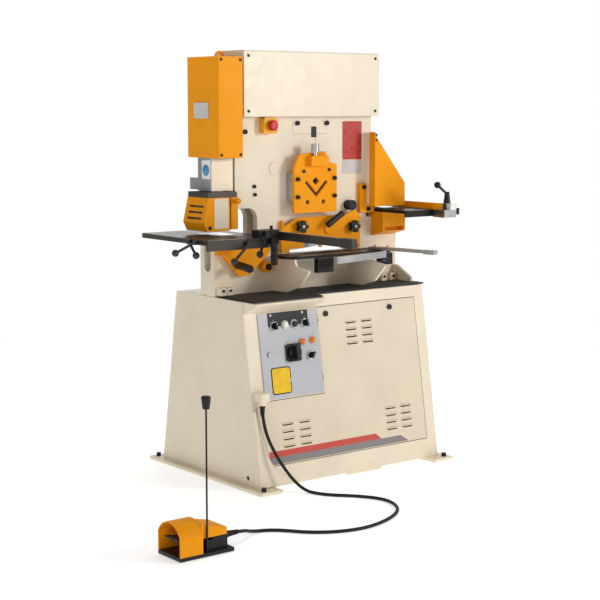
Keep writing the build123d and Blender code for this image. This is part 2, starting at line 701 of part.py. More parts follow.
def main_switch():
    x, s = MAIN_SWITCH_CENTRE
    low = PANEL_LIFT + PANEL_SHEET + 9
    disc = Pos(x, s, low + 6) * Cylinder(MAIN_SWITCH_KNOB / 2, 11)
    handle = Pos(x, s, low + 20) * Box(18, MAIN_SWITCH_KNOB * 1.04, 22)
    handle = fillet(handle.edges().filter_by(Axis.Z), 5)
    stem = Pos(x, s, low - 14) * Cylinder(SHAFT_R, 30)
    return FACE * (disc + handle + stem)


def levelling_screws():
    screws = []
    for side in (-1, 1):
        for end in (-1, 1):
            x = side * LEVELLING_X
            y = end * LEVELLING_Y
            shank = rod((x, y, 0), (x, y, FOOT_THICKNESS + 6), LEVELLING_HOLE_R - 0.2)
            head = Pos(x, y, FOOT_THICKNESS + 6) * extrude(RegularPolygon(10, 6), 8)
            nut = Pos(x, y, FOOT_THICKNESS + 0.2) * extrude(RegularPolygon(10, 6), 5)
            screws.append(shank + head + nut)
    return screws


def cabinet_mat():
    corners = [(-431, MAT_BACK_Y), (467, MAT_BACK_Y)] + MAT_OUTLINE_FRONT
    return slab_xy(outline_face(corners), CABINET_TOP_Z, CABINET_TOP_Z + MAT_THICKNESS)


def frame_plate(y0, flat_window, angle_window):
    face = outline_face(PLATE_OUTLINE, THROAT_CORNERS, THROAT_ROUND)
    picked = corners_of(face, NOTCH_CORNERS)
    face = fillet(picked, NOTCH_ROUND)
    y1 = y0 + PLATE_THICKNESS
    plate = slab_xz(face, y0, y1)
    for x0, x1, z0, z1 in (flat_window, angle_window):
        plate -= block(x0, x1, y0 - 1, y1 + 1, z0, z1)
    plate -= rod((PIVOT_X, y0 - 1, PIVOT_Z), (PIVOT_X, y1 + 1, PIVOT_Z), PIVOT_R + PIVOT_CLEARANCE)
    return plate


def frame_spacers():
    left, right = FRAME_X
    floor = block(left, right, PLATE_FRONT_BACK_Y, PLATE_REAR_Y, CABINET_TOP_Z, FILLER_TOP_Z + PLATE_GAP / 2)
    trough_z = FILLER_TOP_Z + PLATE_GAP / 2
    floor -= rod((left - 1, MID_Y, trough_z), (right + 1, MID_Y, trough_z), PLATE_GAP / 2 - 1)
    spacers = [floor]
    for x, z in TIE_CENTRES:
        spacers.append(rod((x, PLATE_FRONT_BACK_Y, z), (x, PLATE_REAR_Y, z), TIE_R))
    for x, z in FRAME_FOOT_BOLTS:
        foot_z = CABINET_TOP_Z + MAT_THICKNESS + 0.5
        spacers.append(block(x - 14, x + 14, PLATE_FRONT_Y - TAB_DEPTH, PLATE_FRONT_Y, foot_z, z + 12))
    return spacers


def small_screw(place):
    return socket_screw(place, (0, -1, 0), SMALL_SOCKET_R, SMALL_SOCKET_HEIGHT)


def fixing_screws():
    front = (0, -1, 0)
    rear = (0, 1, 0)
    screws = levelling_screws()
    for x, z in TIE_CENTRES:
        if z < COVER_Z[0]:
            screws.append(socket_screw((x, PLATE_FRONT_Y, z), front))
            screws.append(socket_screw((x, PLATE_REAR_BACK_Y, z), rear))
    for x, z in FRAME_FOOT_BOLTS:
        screws.append(small_screw((x, PLATE_FRONT_Y - TAB_DEPTH, z)))
    for x, z in SHEAR_BOLTS:
        screws.append(socket_screw((x, SHEAR_PLATE_Y[0], z), front, 8))
    for x, z in ((-254, 1064), (-257, 1095)):
        screws.append(socket_screw((x, PLATE_FRONT_Y, z), front, 7, 7))
    for x, z in ((268, 1076), (292, 988)):
        screws.append(socket_screw((x, FLAT_GUARD_Y[1], z), front, 8, 8))
    screws.append(socket_screw((-60, SHEAR_PLATE_Y[0], 1148), front, 6, 6))
    screws.append(socket_screw((64, SHEAR_PLATE_Y[0], 1152), front, 6, 6))
    inset = COVER_SCREW_INSET
    for x in (COVER_X[0] + inset, COVER_X[1] - inset):
        for z in (COVER_Z[0] + inset, COVER_Z[1] - inset):
            screws.append(small_screw((x, PLATE_FRONT_Y - COVER_REACH, z)))
    inset = CYLINDER_SCREW_INSET
    for x in (CYLINDER_COVER_X[0] + inset, CYLINDER_COVER_X[1] - inset):
        for z in (CYLINDER_COVER_Z[0] + inset, CYLINDER_COVER_Z[1] - inset):
            screws.append(small_screw((x, CYLINDER_COVER_Y[0], z)))
    return screws


def frame_cover():
    x0, x1 = COVER_X
    z0, z1 = COVER_Z
    y0 = PLATE_FRONT_Y - COVER_REACH
    y1 = PLATE_REAR_BACK_Y + COVER_REACH
    outer = block(x0, x1, y0, y1, z0, z1)
    outer = fillet(outer.edges().filter_by(Axis.X).group_by(Axis.Z)[-1], 6)
    sheet = COVER_SHEET
    inner = block(x0 + sheet, x1 - sheet, y0 + sheet, y1 - sheet, z0 - 1, z1 - sheet)
    slot = block(
        x0 - 1, x1 + 1, PLATE_FRONT_Y - COVER_CLEARANCE, PLATE_REAR_BACK_Y + COVER_CLEARANCE,
        z0 - 1, PLATE_TOP_Z + 2 * COVER_CLEARANCE,
    )
    return outer - inner - slot


def cylinder_cover():
    x0, x1 = CYLINDER_COVER_X
    y0, y1 = CYLINDER_COVER_Y
    z0, z1 = CYLINDER_COVER_Z
    outer = block(x0, x1, y0, y1, z0, z1)
    outer = fillet(outer.edges().filter_by(Axis.Z), 4)
    sheet = COVER_SHEET
    inner = block(x0 + sheet, x1 - sheet, y0 + sheet, y1 - sheet, z0 - 1, z1 - sheet)
    slot = block(
        x1 - 2 * COVER_SHEET, x1 + 1, PLATE_FRONT_Y - COVER_CLEARANCE, PLATE_REAR_BACK_Y + COVER_CLEARANCE,
        z0 - 1, z1 - COVER_SHEET,
    )
    plate = Pos(x0, 20, 1379) * Box(2, 101, 62)
    ring = Pos(*EYE_CENTRE) * Rot(90, 0, 0) * Torus(EYE_MAJOR_R, EYE_MINOR_R)
    ring -= block(x0, x1, y0, y1, z0, z1 - 0.5)
    return outer - inner - slot + plate + ring


def punch_head():
    x0, x1 = HEAD_X
    y0, y1 = HEAD_Y
    z0, z1 = HEAD_Z
    head = block(x0, x1, y0, y1, z0, z1)
    head = fillet(head.edges().filter_by(Axis.Z), 5)
    head += rod((PUNCH_X, MID_Y, z1), (PUNCH_X, MID_Y, BARREL_TOP), BARREL_R)
    head += block(x0 + 12, x1 - 12, *NOSE_Y, z0 + 2, z0 + 46)
    bore = RAM_R + RAM_CLEARANCE
    head -= rod((PUNCH_X, MID_Y, z0 - 1), (PUNCH_X, MID_Y, BARREL_TOP - 20), bore)
    head -= block(PUNCH_X - RAM_R - 1, x1 + 1, PLATE_FRONT_BACK_Y, PLATE_REAR_Y, HEAD_SLOT_Z, z1 + 6)
    return head


def punch_ram():
    slot_half = PUNCH_PAD_R + PAD_CLEARANCE
    ram = rod((PUNCH_X, MID_Y, RAM_BOTTOM), (PUNCH_X, MID_Y, RAM_TOP), RAM_R)
    ram -= block(
        PUNCH_X - 60, PUNCH_X + 60, PLATE_FRONT_BACK_Y + 1, PLATE_REAR_Y - 1,
        PIVOT_Z - slot_half, PIVOT_Z + slot_half,
    )
    return [ram, punch_tool()]


def punch_tool():
    nut = rod((PUNCH_X, MID_Y, NUT_BOTTOM), (PUNCH_X, MID_Y, RAM_BOTTOM), NUT_R)
    flats = extrude(RegularPolygon(NUT_R * 1.04, 6), RAM_BOTTOM - NUT_BOTTOM)
    nut = nut & Pos(PUNCH_X, MID_Y, NUT_BOTTOM) * flats
    return nut + rod((PUNCH_X, MID_Y, PUNCH_BOTTOM), (PUNCH_X, MID_Y, NUT_BOTTOM), PUNCH_R)


def stripper():
    x0, x1, y0, y1, z0, z1 = STRIPPER
    f0, f1 = STRIPPER_FOOT_Z
    plate = block(x0, x1, y0, y1, z0, z1)
    plate += block(x1 - 24, x1, PLATE_FRONT_Y, PLATE_REAR_BACK_Y, z1, HEAD_Z[0])
    plate -= rod((PUNCH_X, MID_Y, z0 - 1), (PUNCH_X, MID_Y, HEAD_Z[0] + 1), STRIPPER_HOLE_R)
    for side in (-1, 1):
        y = MID_Y + side * 46
        plate += block(PUNCH_X - 22, PUNCH_X + 22, y - 5, y + 5, f0, z0)
    foot = block(PUNCH_X - 22, PUNCH_X + 22, MID_Y - 51, MID_Y + 51, f0, f1)
    foot -= rod((PUNCH_X, MID_Y, f0 - 1), (PUNCH_X, MID_Y, f1 + 1), STRIPPER_FOOT_HOLE_R)
    return plate + foot


def punch_table():
    x0, x1 = TABLE_X
    y0, y1 = TABLE_Y
    low = TABLE_TOP - TABLE_THICKNESS
    table = block(x0, x1, y0, y1, low, TABLE_TOP)
    table += block(x0, x1, y0, y0 + TABLE_RAIL_THICKNESS, TABLE_TOP - TABLE_RAIL_HEIGHT, TABLE_TOP)
    half = TABLE_OPENING / 2
    table -= block(PUNCH_X - half, PUNCH_X + half, MID_Y - half, MID_Y + half, low - 1, TABLE_TOP + 1)
    levers = []
    for base, end in TABLE_LEVERS:
        hub = Pos(*base) * Cylinder(9, 18)
        levers.append(ball_arm(base, end, LEVER_R, BALL_R) + hub)
    return [table] + levers


def die_block():
    half = DIE_SIZE / 2
    low = PLATE_OUTLINE[1][1]
    die = block(PUNCH_X - half, PUNCH_X + half, MID_Y - half, MID_Y + half, low, TABLE_TOP)
    die -= rod((PUNCH_X, MID_Y, low - 1), (PUNCH_X, MID_Y, TABLE_TOP - 12), DIE_SLUG_R)
    die -= rod((PUNCH_X, MID_Y, low), (PUNCH_X, MID_Y, TABLE_TOP + 1), DIE_HOLE_R)
    return die


def punch_hood():
    y0, y1 = HOOD_Y
    shell = slab_xz(outline_face(HOOD_OUTLINE), y0, y1)
    inset = offset(outline_face(HOOD_OUTLINE), -HOOD_SHEET, kind=Kind.INTERSECTION)
    inner_y0, inner_y1 = y0 + HOOD_SHEET, y1 - HOOD_SHEET
    inner = slab_xz(inset, inner_y0, inner_y1)
    x1 = HOOD_OUTLINE[-1][0]
    z0 = HOOD_OUTLINE[2][1]
    z1 = HOOD_OUTLINE[0][1]
    hood = shell - inner
    hood -= block(x1 - HOOD_SHEET * 1.2, x1 + 1, inner_y0, inner_y1, z0 - 1, z1 - HOOD_SHEET)
    hood -= block(HOOD_OUTLINE[2][0] + HOOD_SHEET, x1 + 1, inner_y0, inner_y1, z0 - 1, z0 + HOOD_SHEET * 2)
    hood -= block(PUNCH_X - 34, x1 + 1, MID_Y - 54, MID_Y + 54, z1 - HOOD_SHEET - 1, z1 + 1)
    for level in HOOD_SLOT_LEVELS:
        hood -= block(
            HOOD_OUTLINE[1][0] - 20, HOOD_OUTLINE[2][0] + 2, y0 + HOOD_SLOT_MARGIN, y1 - HOOD_SLOT_MARGIN,
            level - HOOD_SLOT_HEIGHT / 2, level + HOOD_SLOT_HEIGHT / 2,
        )
    post = block(*POST)
    post_x = (POST[0] + POST[1]) / 2
    post += rod((post_x, POST[2] - 20, 1046), (post_x, POST[2], 1046), 8)
    post += ball((post_x, POST[2] - 24, 1046), 11)
    return [hood, post]


def gauge_block():
    body = block(*GAUGE_BLOCK) + block(*GAUGE_BLOCK_DROP)
    body += rod((-316, -226, 950), (-316, -226, 962), 6)
    x, y, z0, z1 = GAUGE_GRIP
    grip = rod((x, y, z0), (x, y, z1), GAUGE_GRIP_R)
    return body + fillet(grip.edges().sort_by(Axis.Z)[0], 5)


def gauge_bar():
    x0, x1 = GAUGE_BAR_X
    y0, y1 = GAUGE_BAR_Y
    z0, z1 = GAUGE_BAR_Z
    skin = GAUGE_SLEEVE_SKIN
    bar = block(x0, x1, y0, y1, z0, z1)
    sleeve = block(x0 - skin, x1 + skin, y0 - skin, y0 + GAUGE_SLEEVE_LENGTH, z0 - skin, z1 + skin)
    return bar + sleeve


def gauge_lever():
    x, y, z = GAUGE_LEVER_PIVOT
    hub = rod((x, y - 8, z), (x, GAUGE_BLOCK[2], z), 8)
    return ball_arm((x, y - 2, z), GAUGE_LEVER_END, LEVER_R, BALL_R) + hub


def lower_guard():
    y0, y1 = LOWER_GUARD_Y
    guard = slab_xz(outline_face(LOWER_GUARD_OUTLINE), y0, y1)
    guard += block(-400, -370, y1, PLATE_FRONT_Y, 820, 876)
    x, z = BOSS_CENTRE
    guard += rod((x, PLATE_FRONT_Y, z), (x, PLATE_FRONT_Y - BOSS_REACH, z), BOSS_R)
    brace = block(*BRACKET_X, *BRACKET_Y, *BRACKET_Z) + block(*BRACKET_LEG)
    return [guard, brace]


def guard_grip():
    grip = rod(GRIP_START, GRIP_END, GRIP_R)
    x, z = BOSS_CENTRE
    face_y = PLATE_FRONT_Y - BOSS_REACH
    plug = rod((x, face_y, z), (x, face_y - 6, z), BOSS_R * 0.6)
    return [grip, plug]


def bar_openings(y0, y1, grow=0):
    cx, cz = DIAMOND_CENTRE
    side = DIAMOND_SIZE + grow * 2
    face = Plane.XZ.offset(-y0)
    depth = y0 - y1
    diamond = face * Pos(cx, cz) * extrude(Rot(0, 0, 45) * Rectangle(side, side), depth)
    tx, tz = VEE_TIP
    reach = VEE_REACH * math.sqrt(2)
    width = VEE_WIDTH + grow * 2
    corner = (Align.MIN, Align.MIN)
    legs = Rectangle(reach, width, align=corner) + Rectangle(width, reach, align=corner)
    vee = face * extrude(Pos(tx, tz - grow * math.sqrt(2)) * Rot(0, 0, 45) * legs, depth)
    cut = diamond + vee
    for x, z in ROUND_HOLES:
        cut += rod((x, y0, z), (x, y1, z), ROUND_HOLE_R + grow)
    return cut


def angle_shear_plate():
    y0, y1 = SHEAR_PLATE_Y
    plate = slab_xz(outline_face(SHEAR_PLATE_OUTLINE), y0, y1)
    plate -= bar_openings(y0 - 1, y1 + 1)
    top = block(*CLAMP_BLOCK)
    return plate + block(-36, 40, y0, y1, 1160, 1206) + top


def angle_shear_block():
    x0, x1, y0, y1, z0, z1 = SHEAR_BLOCK
    w0, w1, v0, v1 = ANGLE_WINDOW
    body = block(x0, x1, y0, y1, z0, z1)
    body += block(w0 + 1, w1 - 1, y1, PLATE_FRONT_BACK_Y - 0.4, v0 + 1, v1 - 1)
    body += block(-70, 70, y0, y1, 996, z0)
    return body - bar_openings(y0 - 1, PLATE_FRONT_BACK_Y + 1)


def hold_down_screw():
    x = HOLD_SCREW_X
    y = HOLD_SCREW_Y
    z0, z1 = HOLD_SCREW_Z
    h0, h1 = HOLD_HEAD_Z
    head = rod((x, y, h0), (x, y, h1), HOLD_HEAD_R)
    return rod((x, y, z0 + 17), (x, y, z1), HOLD_SCREW_R) + head


def flat_shear_guard():
    y0, y1 = FLAT_GUARD_Y
    z_low = FLAT_GUARD_OUTLINE[-3][1]
    guard = slab_xz(outline_face(FLAT_GUARD_OUTLINE), y0, y1)
    for x0, x1 in FLAT_GUARD_WINDOWS:
        guard -= block(x0, x1, y0 - 1, y1 + 1, z_low - 1, FLAT_GUARD_WINDOW_TOP)
    for x in (-138, 232):
        guard += block(x, x + 10, y1, PLATE_FRONT_Y, 880, 960)
    arm_axis = Vector(ARM_END[0] - ARM_START[0], ARM_END[1] - ARM_START[1])
    arm_tilt = math.degrees(math.atan2(arm_axis.Y, arm_axis.X))
    arm = Pos((ARM_START[0] + ARM_END[0]) / 2, (ARM_START[1] + ARM_END[1]) / 2)
    arm_face = arm * Rot(0, 0, arm_tilt) * SlotOverall(arm_axis.length + ARM_WIDTH, ARM_WIDTH)
    guard += slab_xz(arm_face, *ARM_Y)
    for x, z in STAR_CENTRES:
        guard -= rod((x, ARM_Y[0] - 1, z), (x, y1 + 1, z), STAR_STUD_R + SHAFT_CLEARANCE)
    gusset = slab_xz(outline_face(NOTCH_GUSSET), y1, PLATE_FRONT_Y)
    return [guard, gusset]


def clamp_rod():
    x, z = ROUND_KNOB
    knob = rod((x, PLATE_FRONT_Y, z), (x, PLATE_FRONT_Y - 34, z), ROUND_KNOB_R)
    return [rod(ROD_START, ROD_END, ROD_R), knob]


def hand_grips():
    return guard_grip() + clamp_rod()


def star_knob(centre):
    x, z = centre
    face = Circle(STAR_R * 0.66)
    for index in range(STAR_LOBES):
        turn = 2 * math.pi * index / STAR_LOBES
        face += Pos(STAR_R * 0.68 * math.cos(turn), STAR_R * 0.68 * math.sin(turn)) * Circle(STAR_R * 0.34)
    y0, y1 = STAR_Y
    knob = slab_xz(Pos(x, z) * face, y0, y1)
    return knob + rod((x, y1, z), (x, FLAT_GUARD_Y[1] + 4, z), STAR_STUD_R)


def shear_table():
    x0, x1 = SHEAR_TABLE_X
    y0, y1 = SHEAR_TABLE_Y
    c = SHEAR_TABLE_CHAMFER
    corners = [(x0, y1), (x0, y0 + c), (x0 + c, y0), (x1 - c, y0), (x1, y0 + c), (x1, y1)]
    low = SHEAR_TABLE_TOP - SHEAR_TABLE_THICKNESS
    table = slab_xy(outline_face(corners), low, SHEAR_TABLE_TOP)
    table += block(*SHEAR_BLOCK_LOW) + block(*SHEAR_CLAMP)
    px, py = MITRE_PIVOT
    table += block(px - 14, px + 14, py - 12, y0 + 12, low - 26, low - 16.5)
    table -= rod((px, py, low - 30), (px, py, low), MITRE_PIVOT_R + SHAFT_CLEARANCE)
    return table


def table_supports():
    tall = outline_face(SUPPORT_PROFILE)
    low = outline_face(SUPPORT_LOW_PROFILE)
    half = SUPPORT_THICKNESS / 2
    supports = [slab_yz(tall, x - half, x + half) for x in (SUPPORT_LEFT_X, SUPPORT_RIGHT_X)]
    supports.append(slab_yz(low, SUPPORT_LOW_X - half, SUPPORT_LOW_X + half))
    return supports


def mitre_gauge():
    px, py = MITRE_PIVOT
    z0, z1 = MITRE_BAR_Z
    a0, a1 = MITRE_ARM_Z
    half = MITRE_BAR_WIDTH / 2
    bar = block(-MITRE_BAR_LENGTH, half, -half, half, z0, z1)
    arm = block(-MITRE_ARM_WIDTH / 2, MITRE_ARM_WIDTH / 2, -MITRE_ARM_LENGTH, MITRE_ARM_BACK, a0, a1)
    tip = block(-15, 15, -MITRE_ARM_LENGTH - MITRE_TIP_LENGTH, -MITRE_ARM_LENGTH, a0 - 4, a1 + 2)
    neck = rod((0, 0, z1), (0, 0, a0), 9)
    stem = rod((0, 0, z0 - 12), (0, 0, z0), MITRE_PIVOT_R)
    gauge = bar + arm + tip + neck + stem
    for y in MITRE_SCREW_Y:
        gauge += rod((0, y, a1), (0, y, a1 + 8), MITRE_SCREW_R)
    return Pos(px, py, 0) * Rot(0, 0, MITRE_ANGLE) * gauge


def fixed_blades():
    x0, x1, z0, _ = FLAT_WINDOW
    blade = block(x0, x1, PLATE_FRONT_Y, PLATE_FRONT_BACK_Y, z0, SHEAR_TABLE_TOP - 2)
    n0, n1 = NOTCH_DIE_X
    m0, m1 = NOTCH_DIE_Y
    jaw = PLATE_OUTLINE[9][1]
    die = block(n0, n1, m0, m1, jaw, NOTCH_TABLE_TOP)
    gap = NOTCH_DIE_CLEARANCE
    die -= block(
        NOTCH_BLADE_X[0] - gap, NOTCH_BLADE_X[1] + gap, NOTCH_BLADE_Y[0] - gap, NOTCH_BLADE_Y[1] + gap,
        jaw - 1, NOTCH_TABLE_TOP + 1,
    )
    return [blade, die]


def beam():
    face = outline_face(BEAM_LEFT + BEAM_RIGHT + BEAM_TOP)
    face += Pos(PUNCH_X, PIVOT_Z) * Circle(PUNCH_PAD_R)
    face += Pos(NOTCH_X, NOTCH_Z) * Circle(NOTCH_PAD_R)
    body = slab_xz(face, BEAM_FRONT_Y, BEAM_BACK_Y)
    x0, x1, z0, z1 = BEAM_WINDOW
    body -= block(x0, x1, BEAM_FRONT_Y - 1, BEAM_BACK_Y + 1, z0, z1)
    bore = PIVOT_R + PIVOT_CLEARANCE
    body -= rod((PIVOT_X, BEAM_FRONT_Y - 1, PIVOT_Z), (PIVOT_X, BEAM_BACK_Y + 1, PIVOT_Z), bore)
    recess = block(
        FLAT_BLADE_EDGE_LEFT[0], FLAT_BLADE_EDGE_RIGHT[0], BEAM_FRONT_Y - 2,
        BEAM_FRONT_Y - BLADE_PROUD + FLAT_BLADE_THICKNESS, 880, FLAT_BLADE_TOP,
    )
    return body - recess


def moving_blades():
    front = BEAM_FRONT_Y - BLADE_PROUD
    edge = [
        FLAT_BLADE_EDGE_LEFT, (FLAT_BLADE_EDGE_LEFT[0], FLAT_BLADE_TOP),
        (FLAT_BLADE_EDGE_RIGHT[0], FLAT_BLADE_TOP), FLAT_BLADE_EDGE_RIGHT,
    ]
    flat = slab_xz(outline_face(edge), front, front + FLAT_BLADE_THICKNESS)
    x0, x1, z0, z1 = BEAM_WINDOW
    angle = block(x0, x1, front, BEAM_BACK_Y, z0, z1) - bar_openings(front - 1, BEAM_BACK_Y + 1, 1)
    return [flat, angle]


def pivot_pin():
    pin = rod((PIVOT_X, PLATE_FRONT_Y, PIVOT_Z), (PIVOT_X, PLATE_REAR_BACK_Y, PIVOT_Z), PIVOT_R)
    cap = rod((PIVOT_X, PLATE_FRONT_Y - 3, PIVOT_Z), (PIVOT_X, PLATE_FRONT_Y, PIVOT_Z), PIVOT_R - 6)
    return pin + cap


def notch_guard():
    y0, y1 = NOTCH_GUARD_Y
    sheet = NOTCH_GUARD_SHEET
    face = outline_face(NOTCH_GUARD_OUTLINE)
    inner = offset(face, -sheet, kind=Kind.INTERSECTION)
    guard = slab_xz(face, y0, y1) - slab_xz(inner, y0 + sheet, y1 + 1)
    x0 = NOTCH_GUARD_OUTLINE[2][0]
    return guard - block(285, x0, y0 + sheet, y1 + 1, 990, 1001 + sheet * 2)


def notch_housing():
    face = outline_face(HOUSING_OUTLINE)
    front = slab_xz(face, PLATE_FRONT_Y - HOUSING_WALL, PLATE_FRONT_Y)
    rear = slab_xz(face, PLATE_REAR_BACK_Y, PLATE_REAR_BACK_Y + HOUSING_WALL)
    x0, x1 = HOUSING_WEB_X
    web = block(x0, x1, PLATE_FRONT_Y, PLATE_REAR_BACK_Y, 1006, 1108)
    return front + rear + web


def notch_slide():
    x0, x1 = SLIDE_X
    z0, z1 = SLIDE_Z
    slide = block(x0, x1, PLATE_FRONT_Y + SLIDE_CLEARANCE, PLATE_REAR_BACK_Y - SLIDE_CLEARANCE, z0, z1)
    slot = NOTCH_PAD_R + PAD_CLEARANCE
    low, high = NOTCH_Z - slot, NOTCH_Z + slot
    slide -= block(x0 - 1, SLIDE_SLOT_RIGHT, PLATE_FRONT_BACK_Y, PLATE_REAR_Y, low, high)
    slide += block(*NOTCH_BLADE_X, *NOTCH_BLADE_Y, NOTCH_BLADE_BOTTOM, z0)
    return slide


def notch_table():
    x0, x1 = NOTCH_TABLE_X
    y0, y1 = NOTCH_TABLE_Y
    low = NOTCH_TABLE_TOP - NOTCH_TABLE_THICKNESS
    table = block(x0, x1, y0, y1, low, NOTCH_TABLE_TOP)
    die_y0, die_y1 = NOTCH_DIE_Y
    table -= block(x0 - 1, NOTCH_DIE_X[1] + 1, die_y0 - 1, die_y1 + 1, low - 1, NOTCH_TABLE_TOP + 1)
    rail = block(x0, x1, y0, y0 + 10, low - 14, low)
    return table + rail


def notch_fence():
    fence = block(*FENCE_BAR) + block(*FENCE_END) + block(*FENCE_SPINE) + block(*FENCE_FOOT)
    return fence


def notch_lever():
    x, y = NOTCH_KNOB
    z0, z1 = NOTCH_KNOB_Z
    knob = rod((x, y, z0), (x, y, z1), NOTCH_KNOB_R * 1.3, NOTCH_KNOB_R * 0.8)
    return ball_arm((x, y, z1 - 10), NOTCH_LEVER_END, LEVER_R, BALL_R) + knob


def notch_bracket():
    x0, x1 = NOTCH_BRACKET_X
    bracket = slab_yz(outline_face(NOTCH_BRACKET_OUTLINE), x0, x1)
    sx0, sx1, sz0, sz1 = NOTCH_BRACKET_SLOT
    y0 = NOTCH_BRACKET_OUTLINE[0][0]
    return bracket - block(sx0, sx1, y0 - 1, y0 + NOTCH_BRACKET_WALL * 3, sz0, sz1)


def estop_base():
    x, z = ESTOP_CENTRE
    half = ESTOP_BASE / 2
    front = PLATE_FRONT_Y - ESTOP_BASE_DEPTH
    base = block(x - half, x + half, front, PLATE_FRONT_Y, z - half, z + half)
    base = fillet(base.edges().filter_by(Axis.Y), 8)
    return base - rod((x, front - 1, z), (x, PLATE_FRONT_Y - 8, z), ESTOP_STEM_R + SHAFT_CLEARANCE)


def estop_mushroom():
    x, z = ESTOP_CENTRE
    face_y = PLATE_FRONT_Y - ESTOP_BASE_DEPTH
    stem = rod((x, face_y + 18, z), (x, face_y - ESTOP_TRAVEL - 4, z), ESTOP_STEM_R)
    cap = rod((x, face_y - ESTOP_TRAVEL - 1, z), (x, face_y - ESTOP_TRAVEL - 17, z), ESTOP_R)
    cap = fillet(cap.edges().sort_by(Axis.Y)[0], 7)
    return stem + cap


def oil_tank():
    x0, x1, y0, y1, z0, z1 = TANK
    t = TANK_WALL
    tank = block(x0, x1, y0, y1, z0, z1) - block(x0 + t, x1 - t, y0 + t, y1 - t, z0 + t, z1 - t)
    tank -= Pos(MOTOR_CENTRE_X, MID_Y, z1) * Cylinder(PUMP_R + 3, t * 4)
    skids = [block(x, x + 30, y0, y1, CABINET_BASE_Z + SIDE_SHEET, z0) for x in (x0 + 20, x1 - 50)]
    return tank + skids[0] + skids[1]


def power_pack():
    return [oil_tank(), motor_pump()]


def motor_pump():
    z0, z1 = MOTOR_Z
    p0, p1 = PUMP_Z
    flange = rod((MOTOR_CENTRE_X, MID_Y, TANK[5]), (MOTOR_CENTRE_X, MID_Y, z0 + 12), MOTOR_R)
    body = rod((MOTOR_CENTRE_X, MID_Y, z0), (MOTOR_CENTRE_X, MID_Y, z1), MOTOR_R - 12)
    for index in range(MOTOR_FINS):
        turn = 360 * index / MOTOR_FINS
        fin = Pos(MOTOR_CENTRE_X, MID_Y, (z0 + z1) / 2) * Rot(0, 0, turn) * Pos(MOTOR_R - 14, 0, 0)
        body += fin * Box(14, 3, (z1 - z0) * 0.7)
    pump = rod((MOTOR_CENTRE_X, MID_Y, p0), (MOTOR_CENTRE_X, MID_Y, TANK[5]), PUMP_R - 6)
    return flange + body + pump


def cord_gland():
    x, y = GLAND_AXIS
    z0, z1 = GLAND_NUT_Z
    body = block(*GLAND_BODY)
    body -= FACE * block(-CABINET_HALF_WIDTH, 0, 0, FACE_LENGTH, -200, 0)
    return body + rod((x, y, z0), (x, y, z1), GLAND_NUT_R)


def cord_radii(points):
    radii = []
    for before, at, after in zip(points, points[1:], points[2:]):
        first = Vector(*at) - Vector(*before)
        second = Vector(*after) - Vector(*at)
        half_turn = math.radians(first.get_angle(second)) / 2
        radii.append(CORD_FILL * min(first.length, second.length) / math.tan(half_turn))
    return radii


def foot_cord():
    radii = cord_radii(CORD_POINTS)
    route = FilletPolyline(*CORD_POINTS, radius=radii)
    section = Plane(origin=route @ 0, z_dir=route % 0) * Circle(CORD_R)
    tube = sweep(section, path=route)
    print("cord length", round(route.length))
    return tube


def foot_switch_base():
    base = block(*SWITCH_BASE) + block(*SWITCH_BODY)
    x0, x1, y0, y1, z0, _ = SWITCH_BASE
    for x in (x0 + 16, x1 - 16):
        for y in (y0 + 16, y1 - 16):
            base += Pos(x, y, SWITCH_PAD_HEIGHT / 2) * Cylinder(9, SWITCH_PAD_HEIGHT)
    g0, g1 = SWITCH_GLAND_X
    base += rod((g0, SWITCH_GLAND_Y, SWITCH_GLAND_Z), (g1, SWITCH_GLAND_Y, SWITCH_GLAND_Z), SWITCH_GLAND_R)
    px, pz = PEDAL_PIVOT
    for y in (SWITCH_BODY[2], SWITCH_BODY[3] - 8):
        base += block(px - 9, SWITCH_BODY[0], y, y + 8, SWITCH_BASE[5], pz + 9)
    base += rod((px, SWITCH_BODY[2], pz), (px, SWITCH_BODY[3], pz), PEDAL_PIN_R)
    return base


def foot_pedal():
    px, pz = PEDAL_PIVOT
    x0, _ = PEDAL_X
    y0, y1 = PEDAL_Y
    profile = [(px, pz + 7), (x0, pz + 24), (x0, pz + 18), (px, pz - 5)]
    tread = slab_xz(outline_face(profile), SWITCH_BODY[2] + 10, SWITCH_BODY[3] - 10)
    toe = [(px - 24, pz + 10.3), (x0, pz + 24), (x0, pz + 18), (px - 24, pz + 1.5)]
    wide = slab_xz(outline_face(toe), y0, y1)
    hub = rod((px, SWITCH_BODY[2] + 10, pz), (px, SWITCH_BODY[3] - 10, pz), 8)
    pedal = tread + wide + hub
    return pedal - rod((px, y0, pz), (px, y1, pz), PEDAL_PIN_R + PIVOT_CLEARANCE)


def arch_face(y0, y1, side_z, top_z, low_z):
    mid = (y0 + y1) / 2
    crown = ThreePointArc((y1, side_z), (mid, top_z), (y0, side_z))
    sides = Polyline((y0, side_z), (y0, low_z), (y1, low_z), (y1, side_z))
    return make_face(list(crown.edges()) + list(sides.edges()))


def foot_switch_guard():
    x0, x1 = HOOD_ARCH_X
    y0, y1 = HOOD_ARCH_Y
    t = HOOD_ARCH_SHEET
    low = SWITCH_BASE[5]
    side_z, top_z = HOOD_ARCH_SIDE_Z, HOOD_ARCH_TOP_Z
    outer = slab_yz(arch_face(y0, y1, side_z, top_z, low), x0, x1)
    inner = slab_yz(arch_face(y0 + t, y1 - t, side_z, top_z - t, low - 1), x0 - 1, x1 + 1)
    arch = outer - inner
    r0, r1 = HOOD_REAR_X
    slope = [(r0, HOOD_REAR_LOW), (r0, HOOD_REAR_TOP[0]), (r1, HOOD_REAR_TOP[1]), (r1, HOOD_REAR_LOW)]
    rear = slab_xz(outline_face(slope), SWITCH_BODY[2] - 4, SWITCH_BODY[3] + 4)
    return arch + rear


